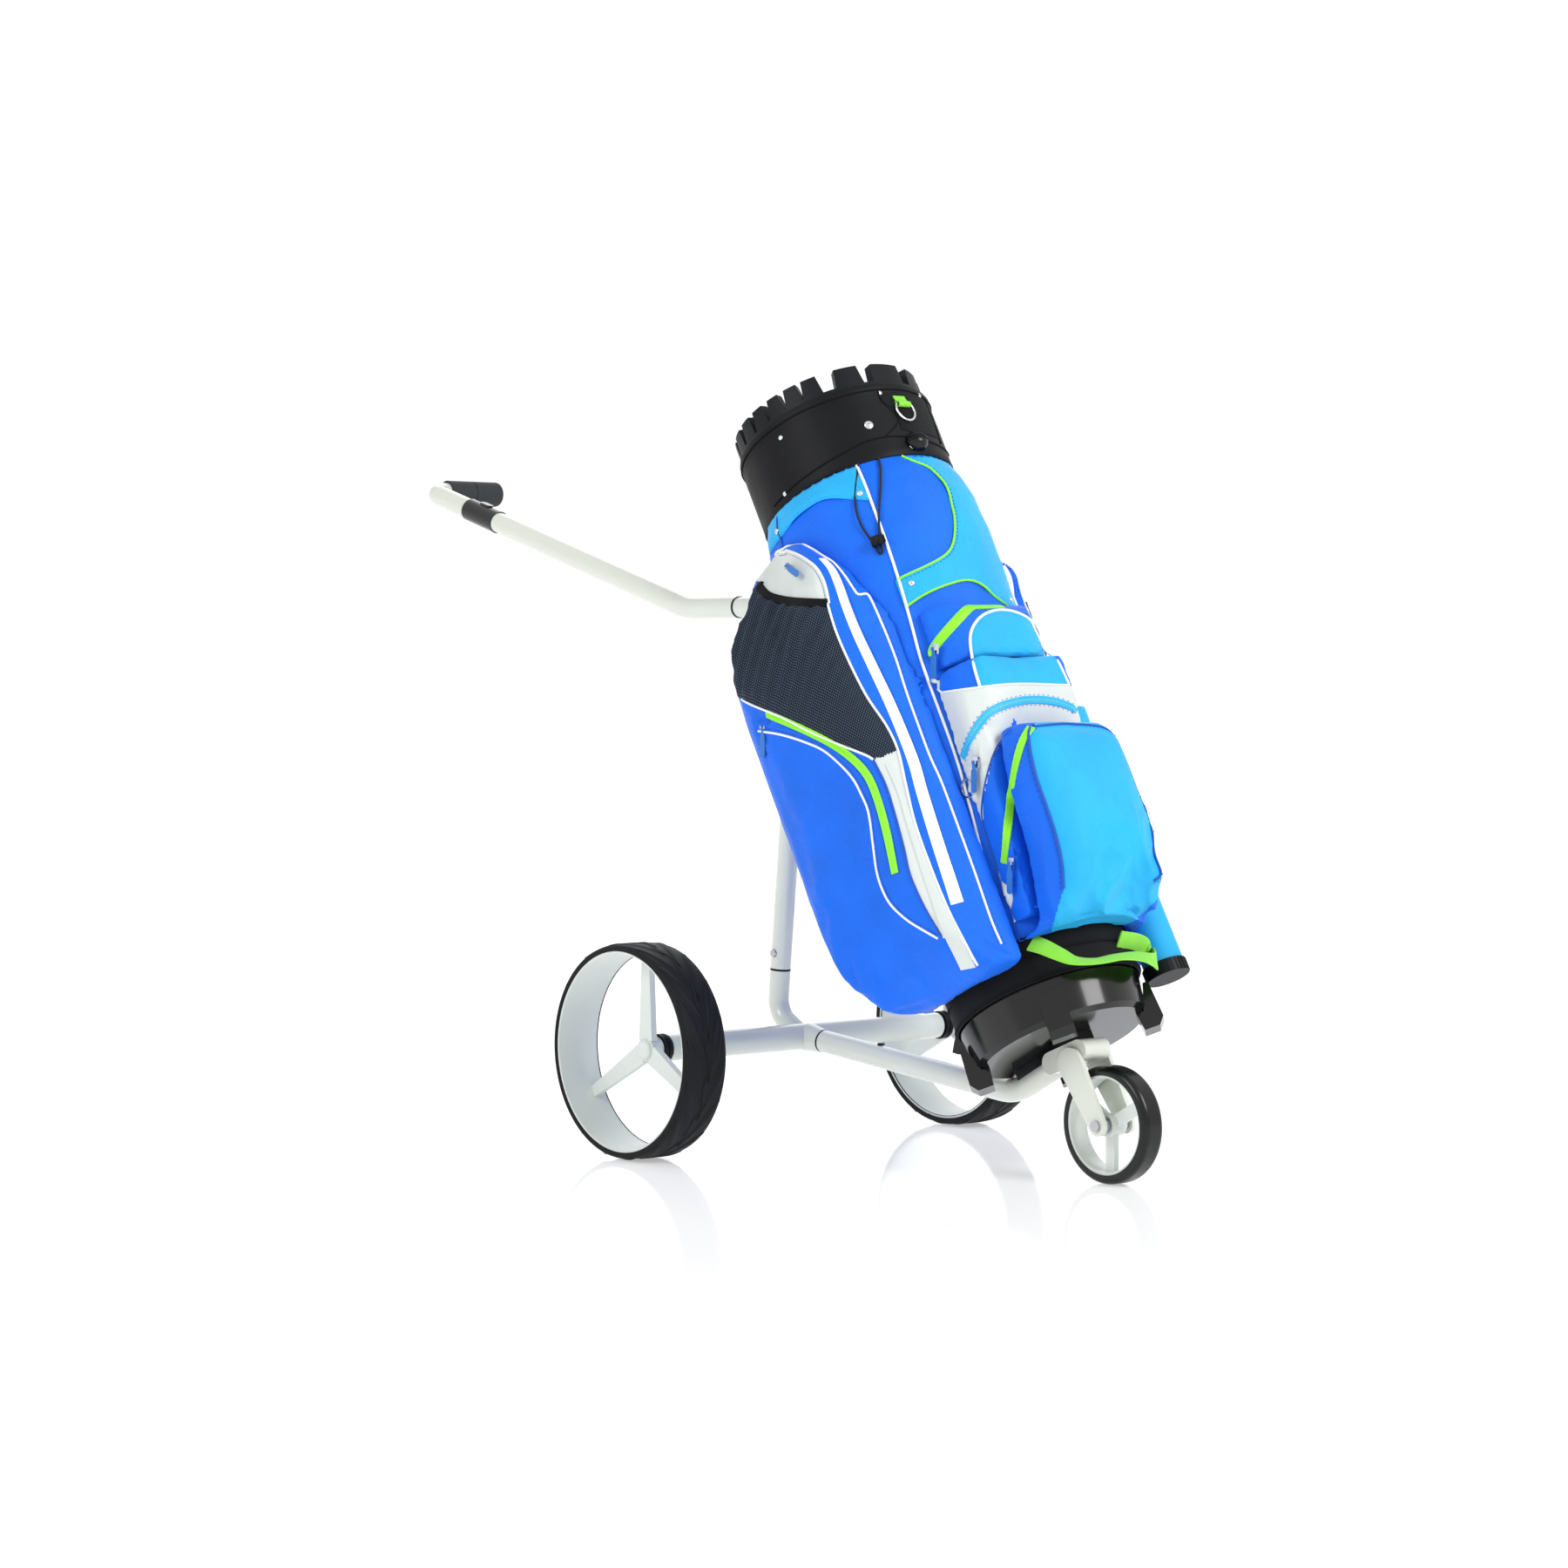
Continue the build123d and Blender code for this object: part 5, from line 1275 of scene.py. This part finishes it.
class BAGCART_OT_small_parts(Piece, bpy.types.Operator):
    """Putter tube and its cap, grab strap, rain-hood cord and its toggle"""

    bl_idname = "bagcart.small_parts"
    bl_label = "Straps, cord and putter tube"

    def execute(self, context):
        tube = Work()
        u, v = 80.0, 138.6
        outer = [(26, 62), (26.4, 66), (25.8, 150), (26.2, 260), (25.7, 380), (26.3, 412), (26.5, 420)]
        inner = [(23.2, 420), (23, 62)]

        def place(a, s, r):
            q = math.radians(a)
            keep = r if s < 300 else min(r, 26.2)
            return at(u + keep * math.cos(q), v + keep * math.sin(q), s)

        # The putter sleeve is made in the painted-lighter blue, the lit copy of the blue nylon
        tube.lathe(outer + inner, paints["sky"], place, segments=72)
        link(tube.mesh("putter"), "putter_sleeve", "bag", "putter_tube")
        ribs = []
        for k in range(30):
            a = math.tau * k / 30
            d = FRONT * math.cos(a) + LEFT * math.sin(a)
            p = at(u + 28.2 * math.cos(a), v + 28.2 * math.sin(a), 53)
            if in_bag([p])[0][0] ** 2 + in_bag([p])[0][1] ** 2 > 127 ** 2:
                ribs.append((p, d, UP))
        repeat("cap_ribs", ribs, "block", (0.0155, 0.0028, 0.0022), paints["plastic"], "bag")
        strap = Work()
        path = [polar(-44, 100, 126), polar(-39, 86, 138), polar(-34, 70, 146), polar(-28, 55, 150),
                polar(-18, 47, 152), polar(-6, 47, 153), polar(8, 46, 152), polar(20, 44, 150),
                polar(30, 48, 147), polar(38, 58, 144), polar(42, 70, 141), polar(38, 79, 137),
                polar(26, 81, 132), polar(12, 82, 128)]
        spine = []
        pts = resample(path, 0.004)
        for k, p in enumerate(pts):
            t = (pts[min(k + 1, len(pts) - 1)] - pts[max(k - 1, 0)]).normalized()
            b = in_bag([p])[0]
            out = (FRONT * b[0] + LEFT * b[1]).normalized()
            f = k / (len(pts) - 1)
            n = (out * math.cos(0.9 * math.sin(f * 5.2)) + UP * math.sin(0.9 * math.sin(f * 5.2)))
            n = (n - t * n.dot(t)).normalized()
            spine.append((p, n, t))
        strap.strip(spine, 0.022, 0.0013, paints["webbing"])
        link(strap.mesh("strap"), "grab_handle", "bag", "grab_strap")
        self.cord()
        self.need("grab_handle" in bpy.data.objects, "the grab handle is missing")
        return {"FINISHED"}

    def cord(self):
        """Elastic cord that loops down from the collar through its toggle."""
        route = [(99.9, -83.0, 780.2), (100.5, -88.9, 768), (98.3, -100.0, 748), (93.7, -109.7, 722),
                 (92.7, -112.4, 694), (96.7, -109.7, 672), (99.2, -107.1, 657), (99.4, -106.6, 645),
                 (104.2, -102.0, 645), (104.7, -101.8, 657), (107.3, -99.4, 674), (112.5, -92.1, 700),
                 (118.5, -81.8, 728), (119.8, -70.9, 753), (117.7, -63.1, 770), (115.2, -60.0, 780.2)]
        data = bpy.data.curves.new("hood_cord_line", "CURVE")
        data.dimensions = "3D"
        data.bevel_depth = 0.0015
        data.bevel_resolution = 3
        data.resolution_u = 8
        data.use_fill_caps = True
        data.materials.append(paints["cord"])
        spline = data.splines.new("NURBS")
        spline.points.add(len(route) - 1)
        for point, (u, v, s) in zip(spline.points, route):
            point.co = (*at(u, v, s), 1.0)
        spline.order_u = 3
        spline.use_endpoint_u = True
        obj = bpy.data.objects.new("rain_hood_cord", data)
        bpy.context.scene.collection.objects.link(obj)
        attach(obj, "bag")
        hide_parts("hood_cord")
        toggle = Work()
        turn = math.radians(-45.7)
        centre = at(151.0 * math.cos(turn), 151.0 * math.sin(turn), 661)
        out = FRONT * math.cos(turn) + LEFT * math.sin(turn)
        across = LEFT * math.cos(turn) - FRONT * math.sin(turn)
        profile = [(0.2, -7.4), (6.4, -7.4), (7.2, -6.4), (7.3, -1), (6.7, 0), (7.3, 1), (7.3, 6.2), (6.6, 7.2),
                   (5.3, 7.4), (5.3, 10.8), (4.6, 11.4), (0.2, 11.4)]
        rings = []
        for r, h in profile:
            rings.append([centre + across * h * MM + (out * math.cos(a) + UP * math.sin(a)) * r * MM
                          for a in np.linspace(0, math.tau, 29)[:-1]])
        toggle.tube(rings, paints["plastic"])
        lock = link(toggle.mesh("toggle"), "cord_toggle", "bag", "cord_lock")


class BAGCART_OT_stage(Piece, bpy.types.Operator):
    """Pale floor, soft studio lights and the camera"""

    bl_idname = "bagcart.stage"
    bl_label = "Stage"

    def execute(self, context):
        scene = context.scene
        me = bpy.data.meshes.new("floor")
        size = 30.0
        me.from_pydata([(-size, -size, 0), (size, -size, 0), (size, size, 0), (-size, size, 0)], [], [(0, 1, 2, 3)])
        floor = bpy.data.objects.new("studio_floor", me)
        scene.collection.objects.link(floor)
        # Lacquered white board: soft mirror at a low angle
        me.materials.append(shader("lacquered_floor_white", linear("#F7F7F7"), 0.07, 0.0, 900, rough_spread=0.0,
                                   **{"Emission Color": (1.0, 1.0, 1.0, 1.0), "Emission Strength": 0.4}))
        world = bpy.data.worlds.new("studio")
        world.use_nodes = True
        back = world.node_tree.nodes["Background"]
        back.inputs["Color"].default_value = (1.0, 1.0, 1.0, 1.0)
        # White to look at and in reflections, dimmer as a lamp, so that the shading keeps its depth
        path = add(world.node_tree, "ShaderNodeLightPath")
        level = add(world.node_tree, "ShaderNodeMapRange", {}, {"To Min": 1.02, "To Max": 0.46},
                    {"Value": path.outputs["Is Diffuse Ray"]})
        world.node_tree.links.new(level.outputs[0], back.inputs["Strength"])
        scene.world = world
        for name, place, power, width in (("key", (3.4, 0.6, 2.6), 95, 1.6), ("side", (0.2, -3.6, 2.4), 55, 1.8),
                                          ("fill", (-3.0, 2.4, 2.6), 30, 3.0)):
            data = bpy.data.lights.new(name, "AREA")
            data.energy = power
            data.size = width
            lamp = bpy.data.objects.new(name, data)
            lamp.location = place
            lamp.rotation_euler = (Vector((0.1, 0, 0.5)) - Vector(place)).to_track_quat("-Z", "Y").to_euler()
            scene.collection.objects.link(lamp)
        data = bpy.data.cameras.new("camera")
        data.lens = LENS
        data.sensor_width = 36.0
        data.clip_end = 100.0
        cam = bpy.data.objects.new("camera", data)
        turn = Matrix((VIEW_RIGHT, VIEW_UP, -VIEW_AHEAD)).transposed().to_4x4()
        cam.matrix_world = Matrix.Translation(EYE) @ turn
        scene.collection.objects.link(cam)
        scene.camera = cam
        scene.view_settings.view_transform = "Standard"
        self.need(scene.camera is not None, "there is no camera")
        return {"FINISHED"}


STEPS = (BAGCART_OT_finishes, BAGCART_OT_stage, BAGCART_OT_treads, BAGCART_OT_trunk, BAGCART_OT_collar,
         BAGCART_OT_side_pockets, BAGCART_OT_front_pockets, BAGCART_OT_small_parts)


class VIEW3D_PT_bag_cart(bpy.types.Panel):
    """Sizes, colours and the steps that dress the cart"""

    bl_label = "Cart Bag"
    bl_idname = "VIEW3D_PT_bag_cart"
    bl_space_type = "VIEW_3D"
    bl_region_type = "UI"
    bl_category = "Cart Bag"

    def draw(self, context):
        for group in (context.scene.bag_cart_sizes, context.scene.bag_cart_colours):
            for key in group.__annotations__:
                self.layout.prop(group, key)
        for step in STEPS:
            self.layout.operator(step.bl_idname)


CLASSES = (BagCartSizes, BagCartColours, *STEPS, VIEW3D_PT_bag_cart)


def register():
    for cls in CLASSES:
        bpy.utils.register_class(cls)
    bpy.types.Scene.bag_cart_sizes = PointerProperty(type=BagCartSizes)
    bpy.types.Scene.bag_cart_colours = PointerProperty(type=BagCartColours)


def unregister():
    del bpy.types.Scene.bag_cart_sizes
    del bpy.types.Scene.bag_cart_colours
    for cls in reversed(CLASSES):
        bpy.utils.unregister_class(cls)


def main():
    register()
    for step in STEPS:
        area, verb = step.bl_idname.split(".")
        getattr(getattr(bpy.ops, area), verb)()
    bpy.context.view_layer.update()


if __name__ == "__main__":
    main()
